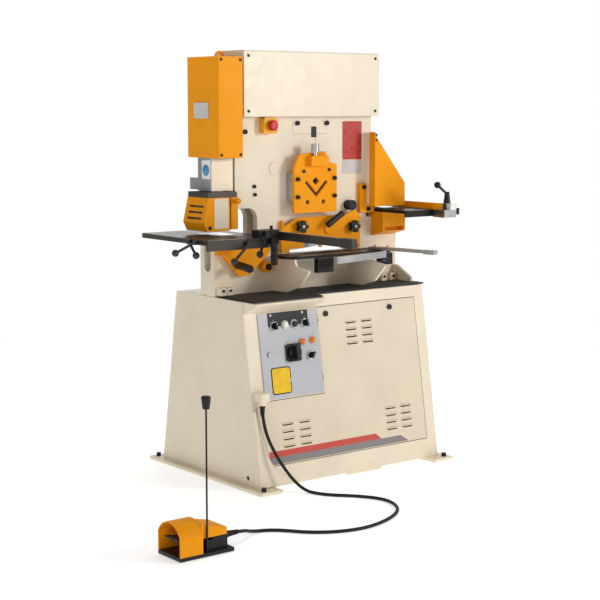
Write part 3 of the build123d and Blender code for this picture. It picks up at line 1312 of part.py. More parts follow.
def carry_rod():
    shaft = rod((CARRY_X, CARRY_Y, SWITCH_BASE[5]), (CARRY_X, CARRY_Y, CARRY_TOP + 20), CARRY_R)
    grip = rod((CARRY_X, CARRY_Y, CARRY_TOP), (CARRY_X, CARRY_Y, CARRY_GRIP_TOP), *CARRY_GRIP_R)
    return shaft + fillet(grip.edges().sort_by(Axis.Z)[-1], CARRY_GRIP_ROUND)


MODEL = {
    "cabinet_shell": cabinet_shell,
    "service_door": service_door,
    "door_lock_left": lambda: door_lock(LOCK_CENTRES[0]),
    "door_lock_right": lambda: door_lock(LOCK_CENTRES[1]),
    "control_gear": control_gear,
    "control_panel": control_panel,
    "panel_lamps": panel_lamps,
    "button_white": lambda: push_button(WHITE_BUTTON_X),
    "button_dark": lambda: push_button(DARK_BUTTON_X),
    "selector_left": lambda: selector((SELECTOR_X[0], PILOT_ROW_S), 0),
    "selector_right": lambda: selector((SELECTOR_X[1], PILOT_ROW_S), 0),
    "selector_small": lambda: selector(SMALL_SELECTOR_CENTRE, -40),
    "main_switch": main_switch,
    "cabinet_mat": cabinet_mat,
    "frame_plate_front": lambda: frame_plate(PLATE_FRONT_Y, FLAT_WINDOW, ANGLE_WINDOW),
    "frame_plate_rear": lambda: frame_plate(PLATE_REAR_Y, FLAT_WINDOW_REAR, ANGLE_WINDOW_REAR),
    "frame_spacers": frame_spacers,
    "fixing_screws": fixing_screws,
    "frame_cover": frame_cover,
    "cylinder_cover": cylinder_cover,
    "punch_head": punch_head,
    "punch_ram": punch_ram,
    "stripper": stripper,
    "punch_table": punch_table,
    "die_block": die_block,
    "punch_hood": punch_hood,
    "gauge_block": gauge_block,
    "gauge_bar": gauge_bar,
    "gauge_lever": gauge_lever,
    "lower_guard": lower_guard,
    "hand_grips": hand_grips,
    "angle_shear_plate": angle_shear_plate,
    "angle_shear_block": angle_shear_block,
    "hold_down_screw": hold_down_screw,
    "flat_shear_guard": flat_shear_guard,
    "star_knob_left": lambda: star_knob(STAR_CENTRES[0]),
    "star_knob_right": lambda: star_knob(STAR_CENTRES[1]),
    "shear_table": shear_table,
    "table_supports": table_supports,
    "mitre_gauge": mitre_gauge,
    "fixed_blades": fixed_blades,
    "beam": beam,
    "moving_blades": moving_blades,
    "pivot_pin": pivot_pin,
    "notch_guard": notch_guard,
    "notch_housing": notch_housing,
    "notch_slide": notch_slide,
    "notch_table": notch_table,
    "notch_fence": notch_fence,
    "notch_lever": notch_lever,
    "notch_bracket": notch_bracket,
    "estop_base": estop_base,
    "estop_mushroom": estop_mushroom,
    "power_pack": power_pack,
    "cord_gland": cord_gland,
    "foot_cord": foot_cord,
    "foot_switch_base": foot_switch_base,
    "foot_switch_guard": foot_switch_guard,
    "foot_pedal": foot_pedal,
    "carry_rod": carry_rod,
}

os.makedirs("parts", exist_ok=True)
for name, maker in MODEL.items():
    shape = maker()
    if isinstance(shape, list):
        shape = Compound(children=shape)
    export_step(shape, f"parts/{name}.step")
print(len(MODEL), "nodes")
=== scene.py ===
import math

import bmesh
import bpy
from mathutils import Matrix, Vector


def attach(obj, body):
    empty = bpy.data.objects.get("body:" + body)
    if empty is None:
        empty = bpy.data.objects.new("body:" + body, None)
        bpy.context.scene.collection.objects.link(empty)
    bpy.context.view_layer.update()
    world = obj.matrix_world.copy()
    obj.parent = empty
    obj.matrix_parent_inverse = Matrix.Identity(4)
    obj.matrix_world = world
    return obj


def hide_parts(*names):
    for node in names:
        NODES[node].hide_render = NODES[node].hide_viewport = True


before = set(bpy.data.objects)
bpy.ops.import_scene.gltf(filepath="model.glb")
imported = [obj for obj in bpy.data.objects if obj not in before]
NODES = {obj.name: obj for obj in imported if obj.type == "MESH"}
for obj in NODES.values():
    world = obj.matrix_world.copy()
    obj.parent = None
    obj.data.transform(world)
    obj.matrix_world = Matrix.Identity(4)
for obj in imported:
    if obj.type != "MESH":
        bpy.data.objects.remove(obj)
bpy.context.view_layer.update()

# Camera of the photograph
CAMERA_PLACE = (-3.5422, -4.5286, 1.3942)
CAMERA_TILT = 82.516
CAMERA_TURN = -37.985
CAMERA_LENS = 88.461

# Sloping cabinet front: its foot, its lean, the ways up and out of it, and how far out its surfaces lie
FACE_FOOT = Vector((0, -0.322, 0.012))
FACE_ANGLE = math.atan2(0.107, 0.676)
FACE_UP = Vector((0, math.sin(FACE_ANGLE), math.cos(FACE_ANGLE)))
FACE_OUT = Vector((0, -math.cos(FACE_ANGLE), math.sin(FACE_ANGLE)))
PANEL_TOP = 0.005
STRIP_TOP = 0.0062
LANDING = -0.003
STRIP_MARKS = 0.0064
HANDLE_TOP = 0.0300

# Controls on the panel, as distance to the right and up the face
CONTROL_ROW = 0.586
SELECTOR_LEFT = (-0.314, CONTROL_ROW)
WHITE_BUTTON = (-0.263, CONTROL_ROW)
DARK_BUTTON = (-0.219, CONTROL_ROW)
SELECTOR_RIGHT = (-0.169, CONTROL_ROW)
SELECTOR_SMALL = (-0.155, 0.463)
MAIN_SWITCH = (-0.237, 0.481)
NOTICE = (-0.301, 0.383)
PANEL_PLUG = (-0.259, 0.382)
PANEL_LOCK = (-0.345, 0.482)
LAMPS_AT = (("lamp_ring_left", (-0.189, 0.517)), ("lamp_ring_right", (-0.141, 0.519)))
STUDS_AT = ((-0.325, 0.626), (-0.177, 0.626))
SELECTOR_HANDLES = (
    ("selector_left", SELECTOR_LEFT, 0),
    ("selector_right", SELECTOR_RIGHT, 0),
    ("selector_small", SELECTOR_SMALL, -40),
)

# Printed marks round a control: distance from its axis, length and thickness
MARK_RADIUS = 0.0215
MARK_LENGTH = 0.0045
MARK_DEPTH = 0.0003

# Widths of the seams in the front plate and of the gap round the door
SEAM = 0.0012
GAP = 0.0022

# Faces that carry screws and plates: y of the front ones, x of the left ones
PLATE_FRONT = -0.040
HOOD_FRONT = -0.062
GUARD_FRONT = -0.112
KNOB_FRONT = -0.096
HEAD_SIDE = -0.452
COVER_SIDE = -0.453

# Parts of a front face with a second coat: left and right, low and high
HEAD_FACE = ((-0.460, -0.348), (1.080, 1.210))
HOOD_WINDOW = ((-0.453, -0.390), (0.945, 1.056))

# Door stripes: lower and upper edge up the face, left end, right end, how far the right end slants back
RED_STRIPE = (0.105, 0.128, -0.385, 0.158, 1.25)
GREY_STRIPE = (0.079, 0.105, -0.392, 0.296, 1.5)

# Studio: light from all round, and the glow and radii of the floor's fade to white
WORLD_LIGHT = 0.31
FLOOR_GLOW = 0.46
FLOOR_FADE = (1.5, 3.4)

# Foot-switch cord
CORD_RADIUS = 0.006
CORD_REST_Z = 0.0064
CORD_POINTS = [
    (-0.412, -0.298, 0.316), (-0.412, -0.298, 0.244), (-0.390, -0.352, 0.130), (-0.312, -0.396, CORD_REST_Z),
    (-0.290, -0.502, CORD_REST_Z), (-0.204, -0.586, CORD_REST_Z), (-0.148, -0.690, CORD_REST_Z),
    (-0.195, -0.810, CORD_REST_Z), (-0.318, -0.890, CORD_REST_Z), (-0.470, -0.920, CORD_REST_Z),
    (-0.610, -0.862, CORD_REST_Z), (-0.694, -0.744, CORD_REST_Z), (-0.768, -0.716, CORD_REST_Z),
    (-0.838, -0.770, 0.036), (-0.899, -0.770, 0.036),
]


def linear(red, green, blue):
    """A colour given as 0 to 255 screen values, as the shader's linear colour."""
    tones = []
    for value in (red, green, blue):
        tone = value / 255
        tones.append(tone / 12.92 if tone <= 0.04045 else ((tone + 0.055) / 1.055) ** 2.4)
    return (*tones, 1)


class Shader:
    """A material whose nodes are added one call at a time."""

    def __init__(self, name):
        self.material = bpy.data.materials.new(name)
        self.material.use_nodes = True
        self.nodes = self.material.node_tree.nodes
        self.links = self.material.node_tree.links
        self.surface = self.nodes["Principled BSDF"]
        self.place = self.nodes.new("ShaderNodeTexCoord").outputs["Object"]

    def add(self, kind, inputs=None, **settings):
        node = self.nodes.new(kind)
        for key, value in settings.items():
            setattr(node, key, value)
        for key, value in (inputs or {}).items():
            if isinstance(value, bpy.types.NodeSocket):
                self.links.new(value, node.inputs[key])
            else:
                node.inputs[key].default_value = value
        return node

    def set(self, **values):
        for key, value in values.items():
            socket = self.surface.inputs[key.replace("_", " ")]
            if isinstance(value, bpy.types.NodeSocket):
                self.links.new(value, socket)
            else:
                socket.default_value = value

    def stretched(self, scale):
        return self.add("ShaderNodeMapping", {"Vector": self.place, "Scale": scale}).outputs[0]

    def noise(self, scale, detail=3, where=None):
        inputs = {"Vector": where or self.place, "Scale": scale, "Detail": detail}
        return self.add("ShaderNodeTexNoise", inputs).outputs[0]

    def ramp(self, factor, low, high, start=0.35, end=0.65):
        node = self.add("ShaderNodeValToRGB", {"Fac": factor})
        node.color_ramp.elements[0].position = start
        node.color_ramp.elements[1].position = end
        node.color_ramp.elements[0].color = low
        node.color_ramp.elements[1].color = high
        return node.outputs[0]

    def spread(self, factor, low, high, start=0.3, end=0.7):
        inputs = {"Value": factor, "From Min": start, "From Max": end, "To Min": low, "To Max": high}
        return self.add("ShaderNodeMapRange", inputs).outputs[0]

    def math(self, operation, first, second=0.0):
        return self.add("ShaderNodeMath", {0: first, 1: second}, operation=operation).outputs[0]

    def mix(self, factor, first, second):
        node = self.add("ShaderNodeMix", {0: factor, 6: first, 7: second}, data_type="RGBA")
        return node.outputs[2]

    def relief(self, height, strength, distance, edge=0.0):
        inputs = {"Height": height, "Strength": strength, "Distance": distance}
        if edge:
            inputs["Normal"] = self.add("ShaderNodeBevel", {"Radius": edge}, samples=4).outputs[0]
        self.set(Normal=self.add("ShaderNodeBump", inputs).outputs[0])


def tinted(colour, share):
    return (*[min(1, channel * share) for channel in colour[:3]], 1)


def edge_mask(shader, radius, low=0.02, high=0.22):
    """1 on worn corners, broken up by a fine noise."""
    soft = shader.add("ShaderNodeBevel", {"Radius": radius}, samples=4).outputs[0]
    flat = shader.add("ShaderNodeNewGeometry").outputs["Normal"]
    meeting = shader.add("ShaderNodeVectorMath", {0: soft, 1: flat}, operation="DOT_PRODUCT").outputs["Value"]
    sharp = shader.math("SUBTRACT", 1.0, meeting)
    broken = shader.math("MULTIPLY", sharp, shader.spread(shader.noise(95, 5), 0.0, 1.6, 0.42, 0.62))
    return shader.spread(broken, 0.0, 1.0, low, high)


def worn_edges(shader, under, radius=0.0016, share=0.55):
    """Lets the tone below the finish show along the edges."""
    base = shader.surface.inputs["Base Color"].links[0].from_socket
    mask = shader.math("MULTIPLY", edge_mask(shader, radius), share)
    shader.set(Base_Color=shader.mix(mask, base, under))
    return shader


def coat_colour(shader, colour, depth=0.022):
    """Slow drifts of tone with faint vertical handling marks."""
    clouds = shader.noise(5.5, 4)
    streaks = shader.noise(3.0, 5, shader.stretched((14, 14, 1.6)))
    both = shader.math("ADD", shader.math("MULTIPLY", clouds, 0.8), shader.math("MULTIPLY", streaks, 0.2))
    return shader.ramp(both, tinted(colour, 1 - depth * 2), tinted(colour, 1 + depth), 0.36, 0.62)


def paint(name, colour, roughness=0.42, peel=0.10, coat=0.12, edge=0.0012, shine=0.5):
    shader = Shader(name)
    fine = shader.noise(420, 2)
    shader.set(Base_Color=coat_colour(shader, colour), Coat_Weight=coat, Coat_Roughness=0.25)
    shader.set(Roughness=shader.spread(shader.noise(26, 4), roughness - 0.06, roughness + 0.1))
    shader.set(Specular_IOR_Level=shine)
    shader.relief(fine, peel, 0.0004, edge)
    return shader


def plastic(name, colour, roughness=0.4, grain=0.25, edge=0.0008):
    shader = Shader(name)
    shader.set(Base_Color=shader.ramp(shader.noise(30, 3), tinted(colour, 0.93), tinted(colour, 1.06)))
    shader.set(Roughness=shader.spread(shader.noise(60, 3), roughness - 0.07, roughness + 0.1))
    shader.set(Specular_IOR_Level=0.32)
    shader.relief(shader.noise(1400, 2), grain, 0.00015, edge)
    return shader


def metal(name, colour, roughness=0.3, stretch=(3, 90, 90), metallic=1.0, edge=0.0008):
    shader = Shader(name)
    brushed = shader.noise(14, 6, shader.stretched(stretch))
    smudge = shader.noise(9, 4)
    shader.set(Base_Color=shader.ramp(smudge, tinted(colour, 0.8), tinted(colour, 1.12)), Metallic=metallic)
    mixed = shader.math("ADD", shader.math("MULTIPLY", brushed, 0.6), shader.math("MULTIPLY", smudge, 0.4))
    shader.set(Roughness=shader.spread(mixed, roughness - 0.08, roughness + 0.14))
    shader.relief(brushed, 0.22, 0.0003, edge)
    return shader


def along_face(shader):
    """Distance up the sloping front, and distance to the right, as sockets."""
    parts = shader.add("ShaderNodeSeparateXYZ", {0: shader.place}).outputs
    rise = shader.math("MULTIPLY", shader.math("SUBTRACT", parts[2], FACE_FOOT.z), math.cos(FACE_ANGLE))
    lean = shader.math("MULTIPLY", shader.math("SUBTRACT", parts[1], FACE_FOOT.y), math.sin(FACE_ANGLE))
    return shader.math("ADD", rise, lean), parts[0]


def between(shader, value, low, high):
    """1 where a value lies between two others."""
    above = shader.math("GREATER_THAN", value, low)
    return shader.math("MULTIPLY", above, shader.math("LESS_THAN", value, high))


def band(shader, up, right, low, high, left, end, slant):
    """1 inside a stripe whose right end slants back as it rises."""
    inside = between(shader, up, low, high)
    stop = shader.math("SUBTRACT", end, shader.math("MULTIPLY", shader.math("SUBTRACT", up, low), slant))
    return shader.math("MULTIPLY", inside, between(shader, right, left, stop))


CREAM = linear(238, 224, 199)
# Door cream set darker than CREAM: partly the door's own tone, partly painted shade for the weaker light on
# the door
DOOR_CREAM_WITH_SHADE = linear(226, 212, 186)
HEAD_CREAM = linear(222, 206, 182)
YELLOW = linear(247, 158, 4)
PRIMER = linear(150, 146, 138)
BARE = linear(176, 172, 164)
STRIPE_RED = linear(200, 70, 56)
STRIPE_GREY = linear(132, 127, 126)


def striped_door():
    # The base tone is the darker door cream, which carries painted shade
    shader = paint("door_paint_with_shade", DOOR_CREAM_WITH_SHADE)
    up, right = along_face(shader)
    red = band(shader, up, right, *RED_STRIPE)
    grey = band(shader, up, right, *GREY_STRIPE)
    base = shader.surface.inputs["Base Color"].links[0].from_socket
    with_grey = shader.mix(grey, base, STRIPE_GREY)
    shader.set(Base_Color=shader.mix(red, with_grey, STRIPE_RED))
    return shader.material


def painted_front(shader, area, colour):
    """A second coat on the part of the front face inside a rectangle."""
    facing = shader.add("ShaderNodeNewGeometry").outputs["True Normal"]
    inside = shader.math("LESS_THAN", shader.add("ShaderNodeSeparateXYZ", {0: facing}).outputs[1], -0.6)
    parts = shader.add("ShaderNodeSeparateXYZ", {0: shader.place}).outputs
    for socket, (start, end) in zip((parts[0], parts[2]), area):
        inside = shader.math("MULTIPLY", inside, between(shader, socket, start, end))
    base = shader.surface.inputs["Base Color"].links[0].from_socket
    shader.set(Base_Color=shader.mix(inside, base, colour))
    return shader.material


def yellow_coat(name):
    return worn_edges(paint(name, YELLOW, 0.46, 0.08, 0.02, shine=0.12), BARE, 0.0016, 0.6)


def ribbed_mat():
    shader = Shader("mat_rubber")
    inputs = {"Vector": shader.place, "Scale": 62.0, "Distortion": 0.15, "Detail": 1.0}
    ribs = shader.add("ShaderNodeTexWave", inputs, bands_direction="Y").outputs["Fac"]
    dust = shader.noise(18, 5)
    shader.set(Base_Color=shader.ramp(dust, linear(26, 25, 30), linear(52, 50, 56)))
    shader.set(Roughness=shader.spread(dust, 0.55, 0.8))
    shader.relief(ribs, 0.6, 0.0012)
    return shader.material


def ruled_steel(name, axis):
    """Ground steel with scale marks along one axis."""
    shader = metal(name, linear(196, 198, 200), 0.28, (4, 80, 80) if axis == 0 else (80, 4, 80))
    parts = shader.add("ShaderNodeSeparateXYZ", {0: shader.place}).outputs
    marks = []
    for pitch, width in ((0.010, 0.0011), (0.050, 0.0019)):
        phase = shader.math("PINGPONG", parts[axis], pitch / 2)
        marks.append(shader.math("LESS_THAN", phase, width / 2))
    base = shader.surface.inputs["Base Color"].links[0].from_socket
    either = shader.math("MAXIMUM", *marks)
    shader.set(Base_Color=shader.mix(either, base, linear(70, 70, 74)))
    return shader.material


def lens():
    shader = plastic("amber_lens", linear(238, 140, 52), 0.18, 0.1)
    shader.set(Coat_Weight=0.6, Transmission_Weight=0.15, IOR=1.49)
    shader.set(Emission_Color=linear(240, 130, 40), Emission_Strength=0.12)
    return shader.material


MATERIALS = {
    "cream": worn_edges(paint("cream_paint", CREAM), PRIMER, 0.0015, 0.35).material,
    "yellow": yellow_coat("yellow_paint").material,
    "head": painted_front(
        metal("head_steel", linear(150, 150, 148), 0.42, metallic=0.35), HEAD_FACE, HEAD_CREAM,
    ),
    "hood": painted_front(yellow_coat("hood_paint"), HOOD_WINDOW, CREAM),
    "gap": plastic("gap_shadow", linear(62, 54, 44), 0.7).material,
    "door": striped_door(),
    "panel": paint("grey_panel_paint", linear(188, 189, 195), 0.44, 0.25, 0.05).material,
    "steel": metal("ground_steel", linear(190, 190, 190), 0.34).material,
    "dark": worn_edges(
        metal("blackened_steel", linear(40, 37, 36), 0.46, (3, 60, 60), 0.75), BARE, 0.002, 0.9,
    ).material,
    "worn": worn_edges(
        metal("worn_dark_steel", linear(74, 71, 66), 0.42, (3, 70, 70), 0.85), BARE, 0.002,
    ).material,
    "black": plastic("black_plastic", linear(22, 22, 24), 0.42).material,
    "socket": metal("black_screw", linear(34, 34, 36), 0.36, (40, 40, 40), 0.6).material,
    "white": plastic("white_plastic", linear(236, 235, 228), 0.3).material,
    "red": plastic("red_plastic", linear(196, 26, 24), 0.26, 0.1).material,
    "signal": plastic("signal_yellow_plastic", linear(240, 172, 30), 0.32, 0.15).material,
    "mat": ribbed_mat(),
    "cord": plastic("cord_rubber", linear(22, 22, 24), 0.5, 0.4).material,
    "cast": paint("cast_grey_paint", linear(96, 104, 110), 0.5, 0.5, 0.0).material,
    "lens": lens(),
    "seam": paint("seam_shadow", linear(150, 136, 112)).material,
    "rule_x": ruled_steel("ruled_steel_x", 0),
    "rule_y": ruled_steel("ruled_steel_y", 1),
    "plate_red": plastic("plate_red_enamel", linear(188, 62, 58), 0.3, 0.1).material,
    "plate_grey": plastic("plate_grey_enamel", linear(206, 204, 200), 0.32, 0.1).material,
    "plate_blue": plastic("plate_blue_enamel", linear(64, 150, 200), 0.3, 0.1).material,
    "plate_yellow": plastic("plate_yellow_enamel", linear(240, 196, 30), 0.3, 0.1).material,
}

NODE_FINISH = {
    "cabinet_shell": "cream", "service_door": "door", "door_lock_left": "black",
    "door_lock_right": "black", "control_gear": "panel", "control_panel": "panel", "panel_lamps": "lens",
    "button_white": "white", "button_dark": "black", "selector_left": "black", "selector_right": "black",
    "selector_small": "black", "main_switch": "black", "cabinet_mat": "mat", "frame_plate_front": "cream",
    "frame_plate_rear": "cream", "frame_spacers": "cream", "fixing_screws": "socket",
    "frame_cover": "cream", "cylinder_cover": "yellow", "punch_head": "head", "punch_ram": "steel",
    "stripper": "worn", "punch_table": "worn", "die_block": "steel", "punch_hood": "hood",
    "gauge_block": "dark", "gauge_bar": "worn", "gauge_lever": "black", "lower_guard": "yellow",
    "hand_grips": "black", "angle_shear_plate": "yellow", "angle_shear_block": "steel",
    "hold_down_screw": "steel", "flat_shear_guard": "yellow", "star_knob_left": "black",
    "star_knob_right": "black", "shear_table": "dark", "table_supports": "cream", "mitre_gauge": "steel",
    "fixed_blades": "steel", "beam": "cast", "moving_blades": "steel", "pivot_pin": "cream",
    "notch_guard": "yellow", "notch_housing": "cream", "notch_slide": "steel", "notch_table": "dark",
    "notch_fence": "rule_y", "notch_lever": "black", "notch_bracket": "yellow", "estop_base": "signal",
    "estop_mushroom": "red", "power_pack": "cast", "cord_gland": "cream", "foot_cord": "cord",
    "foot_switch_base": "black", "foot_switch_guard": "yellow", "foot_pedal": "dark",
    "carry_rod": "black",
}


def dress_nodes():
    for node, finish in NODE_FINISH.items():
        piece = NODES[node]
        piece.data.materials.clear()
        piece.data.materials.append(MATERIALS[finish])


def frame_at(origin, right, up):
    """A placing matrix whose x goes right, y up and z out of the surface."""
    out = right.cross(up).normalized()
    turn = Matrix((right, up, out)).transposed().to_4x4()
    return Matrix.Translation(origin) @ turn


def on_face(place, out=PANEL_TOP):
    x, s = place
    return frame_at(FACE_FOOT + Vector((x, 0, 0)) + FACE_UP * s + FACE_OUT * out, Vector((1, 0, 0)), FACE_UP)


def on_front(x, z, y):
    return frame_at(Vector((x, y, z)), Vector((1, 0, 0)), Vector((0, 0, 1)))


def on_top(x, y, z):
    return frame_at(Vector((x, y, z)), Vector((1, 0, 0)), Vector((0, 1, 0)))


def on_rear(x, s, out=0.003):
    up = Vector((0, -FACE_UP.y, FACE_UP.z))
    outward = Vector((0, -FACE_OUT.y, FACE_OUT.z))
    foot = Vector((x, -FACE_FOOT.y, FACE_FOOT.z))
    return frame_at(foot + up * s + outward * out, Vector((-1, 0, 0)), up)


def on_left(y, z, x):
    return frame_at(Vector((x, y, z)), Vector((0, -1, 0)), Vector((0, 0, 1)))


def finished(name, mesh_maker, place, finish, body, bevel=0.0, smooth=True):
    mesh = bpy.data.meshes.new(name)
    builder = bmesh.new()
    mesh_maker(builder)
    bmesh.ops.recalc_face_normals(builder, faces=builder.faces)
    builder.transform(place)
    builder.to_mesh(mesh)
    builder.free()
    piece = bpy.data.objects.new(name, mesh)
    bpy.context.collection.objects.link(piece)
    mesh.materials.append(MATERIALS[finish])
    if smooth:
        mesh.shade_smooth()
    if bevel:
        edge = piece.modifiers.new("edge", "BEVEL")
        edge.width = bevel
        edge.segments = 2
        edge.limit_method = "ANGLE"
        edge.angle_limit = math.radians(40)
        edge.harden_normals = True
    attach(piece, body)
    return piece


def rounded_outline(width, height, radius, steps=6):
    points = []
    for turn, (sx, sy) in enumerate(((1, 1), (-1, 1), (-1, -1), (1, -1))):
        for step in range(steps + 1):
            angle = math.radians(90 * turn + 90 * step / steps)
            cx = sx * (width / 2 - radius)
            cy = sy * (height / 2 - radius)
            points.append((cx + radius * math.cos(angle), cy + radius * math.sin(angle)))
    return points


def slab(builder, outline, low, high):
    bottom = [builder.verts.new((x, y, low)) for x, y in outline]
    top = [builder.verts.new((x, y, high)) for x, y in outline]
    builder.faces.new(top)
    builder.faces.new(list(reversed(bottom)))
    for index in range(len(outline)):
        after = (index + 1) % len(outline)
        builder.faces.new((bottom[index], bottom[after], top[after], top[index]))


def lathe(builder, profile, segments=40):
    rings = []
    for radius, height in profile:
        if radius == 0:
            rings.append([builder.verts.new((0, 0, height))])
            continue
        ring = []
        for step in range(segments):
            angle = 2 * math.pi * step / segments
            ring.append(builder.verts.new((radius * math.cos(angle), radius * math.sin(angle), height)))
        rings.append(ring)
    for low, high in zip(rings, rings[1:]):
        for step in range(segments):
            after = (step + 1) % segments
            corners = [low[step % len(low)], low[after % len(low)]]
            corners += [high[after % len(high)], high[step % len(high)]]
            unique = []
            for corner in corners:
                if corner not in unique:
                    unique.append(corner)
            if len(unique) > 2:
                builder.faces.new(unique)


def small_plate(name, width, height, place, finish, body="machine", radius=0.004, thickness=0.0012):
    outline = rounded_outline(width, height, radius)
    return finished(name, lambda b: slab(b, outline, 0, thickness), place, finish, body, 0.0003, False)


def panel_plate(name, width, height, place, finish, radius, thickness=0.0012, out=PANEL_TOP):
    place = on_face(place, out)
    return small_plate(name, width, height, place, finish, "control_door", radius, thickness)


def turned(name, profile, place, finish, body="machine", segments=40):
    return finished(name, lambda b: lathe(b, profile, segments), place, finish, body)


def panel_ring(name, profile, place, segments=40, out=PANEL_TOP):
    return turned(name, profile, on_face(place, out), "steel", "control_door", segments)


def black_screw(name, profile, place, segments=24):
    return turned(name, profile, place, "socket", segments=segments)


def printed(name, outline, place, body):
    """A thin white mark on a surface."""
    return finished(
        name, lambda b: slab(b, outline, 0, MARK_DEPTH), place, "white", body, 0, False,
    )


def make_camera():
    data = bpy.data.cameras.new("photo_camera")
    data.lens = CAMERA_LENS
    data.sensor_width = 36
    data.clip_end = 60
    camera = bpy.data.objects.new("photo_camera", data)
    camera.location = CAMERA_PLACE
    camera.rotation_euler = (math.radians(CAMERA_TILT), 0, math.radians(CAMERA_TURN))
    bpy.context.collection.objects.link(camera)
    bpy.context.scene.camera = camera


def area_light(name, place, aim, size, power, colour=(1, 1, 1)):
    data = bpy.data.lights.new(name, "AREA")
    data.shape = "RECTANGLE"
    data.size, data.size_y = size
    data.energy = power
    data.color = colour
    lamp = bpy.data.objects.new(name, data)
    lamp.location = place
    lamp.rotation_euler = (Vector(aim) - Vector(place)).to_track_quat("-Z", "Y").to_euler()
    bpy.context.collection.objects.link(lamp)


def make_studio():
    scene = bpy.context.scene
    scene.view_settings.view_transform = "Standard"
    world = bpy.data.worlds.new("studio")
    scene.world = world
    world.use_nodes = True
    nodes = world.node_tree.nodes
    links = world.node_tree.links
    lit = nodes["Background"]
    lit.inputs["Color"].default_value = (1, 1, 1, 1)
    lit.inputs["Strength"].default_value = WORLD_LIGHT
    seen = nodes.new("ShaderNodeBackground")
    seen.inputs["Color"].default_value = (1, 1, 1, 1)
    seen.inputs["Strength"].default_value = 1.0
    path = nodes.new("ShaderNodeLightPath")
    choose = nodes.new("ShaderNodeMixShader")
    either = nodes.new("ShaderNodeMath")
    either.operation = "MAXIMUM"
    links.new(path.outputs["Is Camera Ray"], either.inputs[0])
    links.new(path.outputs["Is Transmission Ray"], either.inputs[1])
    links.new(either.outputs[0], choose.inputs[0])
    links.new(lit.outputs[0], choose.inputs[1])
    links.new(seen.outputs[0], choose.inputs[2])
    links.new(choose.outputs[0], nodes["World Output"].inputs[0])
    bpy.ops.mesh.primitive_plane_add(size=40, location=(0, 0, 0))
    floor = bpy.context.object
    floor.name = "studio_floor"
    shader = Shader("floor_white")
    reach = shader.add("ShaderNodeVectorMath", {0: shader.place}, operation="LENGTH").outputs["Value"]
    far = shader.spread(reach, 0.0, 1.0, *FLOOR_FADE)
    shader.set(Base_Color=shader.mix(far, (0.94, 0.94, 0.94, 1), (0, 0, 0, 1)), Roughness=0.9)
    shader.set(Emission_Color=(1, 1, 1, 1), Emission_Strength=shader.spread(far, FLOOR_GLOW, 1.0, 0.0, 1.0))
    shader.set(Specular_IOR_Level=0.0)
    floor.data.materials.append(shader.material)
    area_light("key", (2.0, -3.5, 1.9), (-0.05, 0, 1.35), (0.9, 0.9), 60, (1.0, 0.98, 0.95))
    area_light("fill", (-4.6, -2.6, 2.4), (0, 0, 0.8), (3.0, 2.6), 34)
    area_light("top", (0.2, 0.4, 4.6), (0, 0, 0.8), (3.2, 3.2), 42)
    area_light("rim", (2.8, 3.8, 3.0), (0, 0, 1.0), (2.6, 2.2), 52)


def make_cord():
    data = bpy.data.curves.new("switch_cord", "CURVE")
    data.dimensions = "3D"
    data.bevel_depth = CORD_RADIUS
    data.bevel_resolution = 6
    data.resolution_u = 24
    data.use_fill_caps = True
    line = data.splines.new("NURBS")
    line.points.add(len(CORD_POINTS) - 1)
    for point, place in zip(line.points, CORD_POINTS):
        point.co = (*place, 1)
    line.order_u = 3
    line.use_endpoint_u = True
    cord = bpy.data.objects.new("switch_cord", data)
    bpy.context.collection.objects.link(cord)
    data.materials.append(MATERIALS["cord"])
    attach(cord, "machine")
    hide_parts("foot_cord")
    sleeve = [(0.0066, 0), (0.0095, 0.001), (0.0098, 0.008)]
    for ring in range(5):
        level = 0.010 + ring * 0.0055
        wide = 0.0094 - ring * 0.0004
        groove = wide - 0.0014
        sleeve += [(wide, level), (wide, level + 0.003), (groove, level + 0.0036), (groove, level + 0.0052)]
    sleeve += [(0.0068, 0.040), (0.0064, 0.0404)]
    down = frame_at(Vector(CORD_POINTS[0]), Vector((1, 0, 0)), Vector((0, 1, 0)) * -1)
    upper = turned("cord_sleeve_gland", sleeve, down, "cord", segments=32)
    back = frame_at(Vector(CORD_POINTS[-1]), Vector((0, 1, 0)), Vector((0, 0, 1)))
    lower = turned("cord_sleeve_switch", sleeve, back, "cord", segments=32)


def make_panel_trim():
    panel_plate("panel_black_strip", 0.186, 0.052, (-0.245, 0.609), "black", 0.003)
    panel_plate("panel_notice_edge", 0.090, 0.100, NOTICE, "black", 0.012, 0.001)
    panel_plate("panel_notice", 0.082, 0.092, NOTICE, "plate_yellow", 0.009, 0.0006, 0.006)
    ring = [(0.0118, 0), (0.0172, 0), (0.0172, 0.003), (0.0155, 0.0052)]
    ring += [(0.0125, 0.0054), (0.0118, 0.004), (0.0118, 0)]
    for name, place in (
        ("ring_left", SELECTOR_LEFT), ("ring_white", WHITE_BUTTON), ("ring_dark", DARK_BUTTON),
        ("ring_right", SELECTOR_RIGHT), ("ring_small", SELECTOR_SMALL),
    ):
        panel_ring(name, ring, place)
    lamp_ring = [(0.0124, 0), (0.0158, 0), (0.0158, 0.002), (0.0144, 0.0034), (0.0126, 0.0034), (0.0124, 0)]
    for name, place in LAMPS_AT:
        panel_ring(name, lamp_ring, place)


def tick(name, place, angle, radius, length):
    """A small printed mark that points away from a control's axis."""
    turn = Matrix.Rotation(math.radians(angle - 90), 4, "Z") @ Matrix.Translation((0, radius, 0))
    printed(name, rounded_outline(0.0013, length, 0.0005, 3), place @ turn, "control_door")


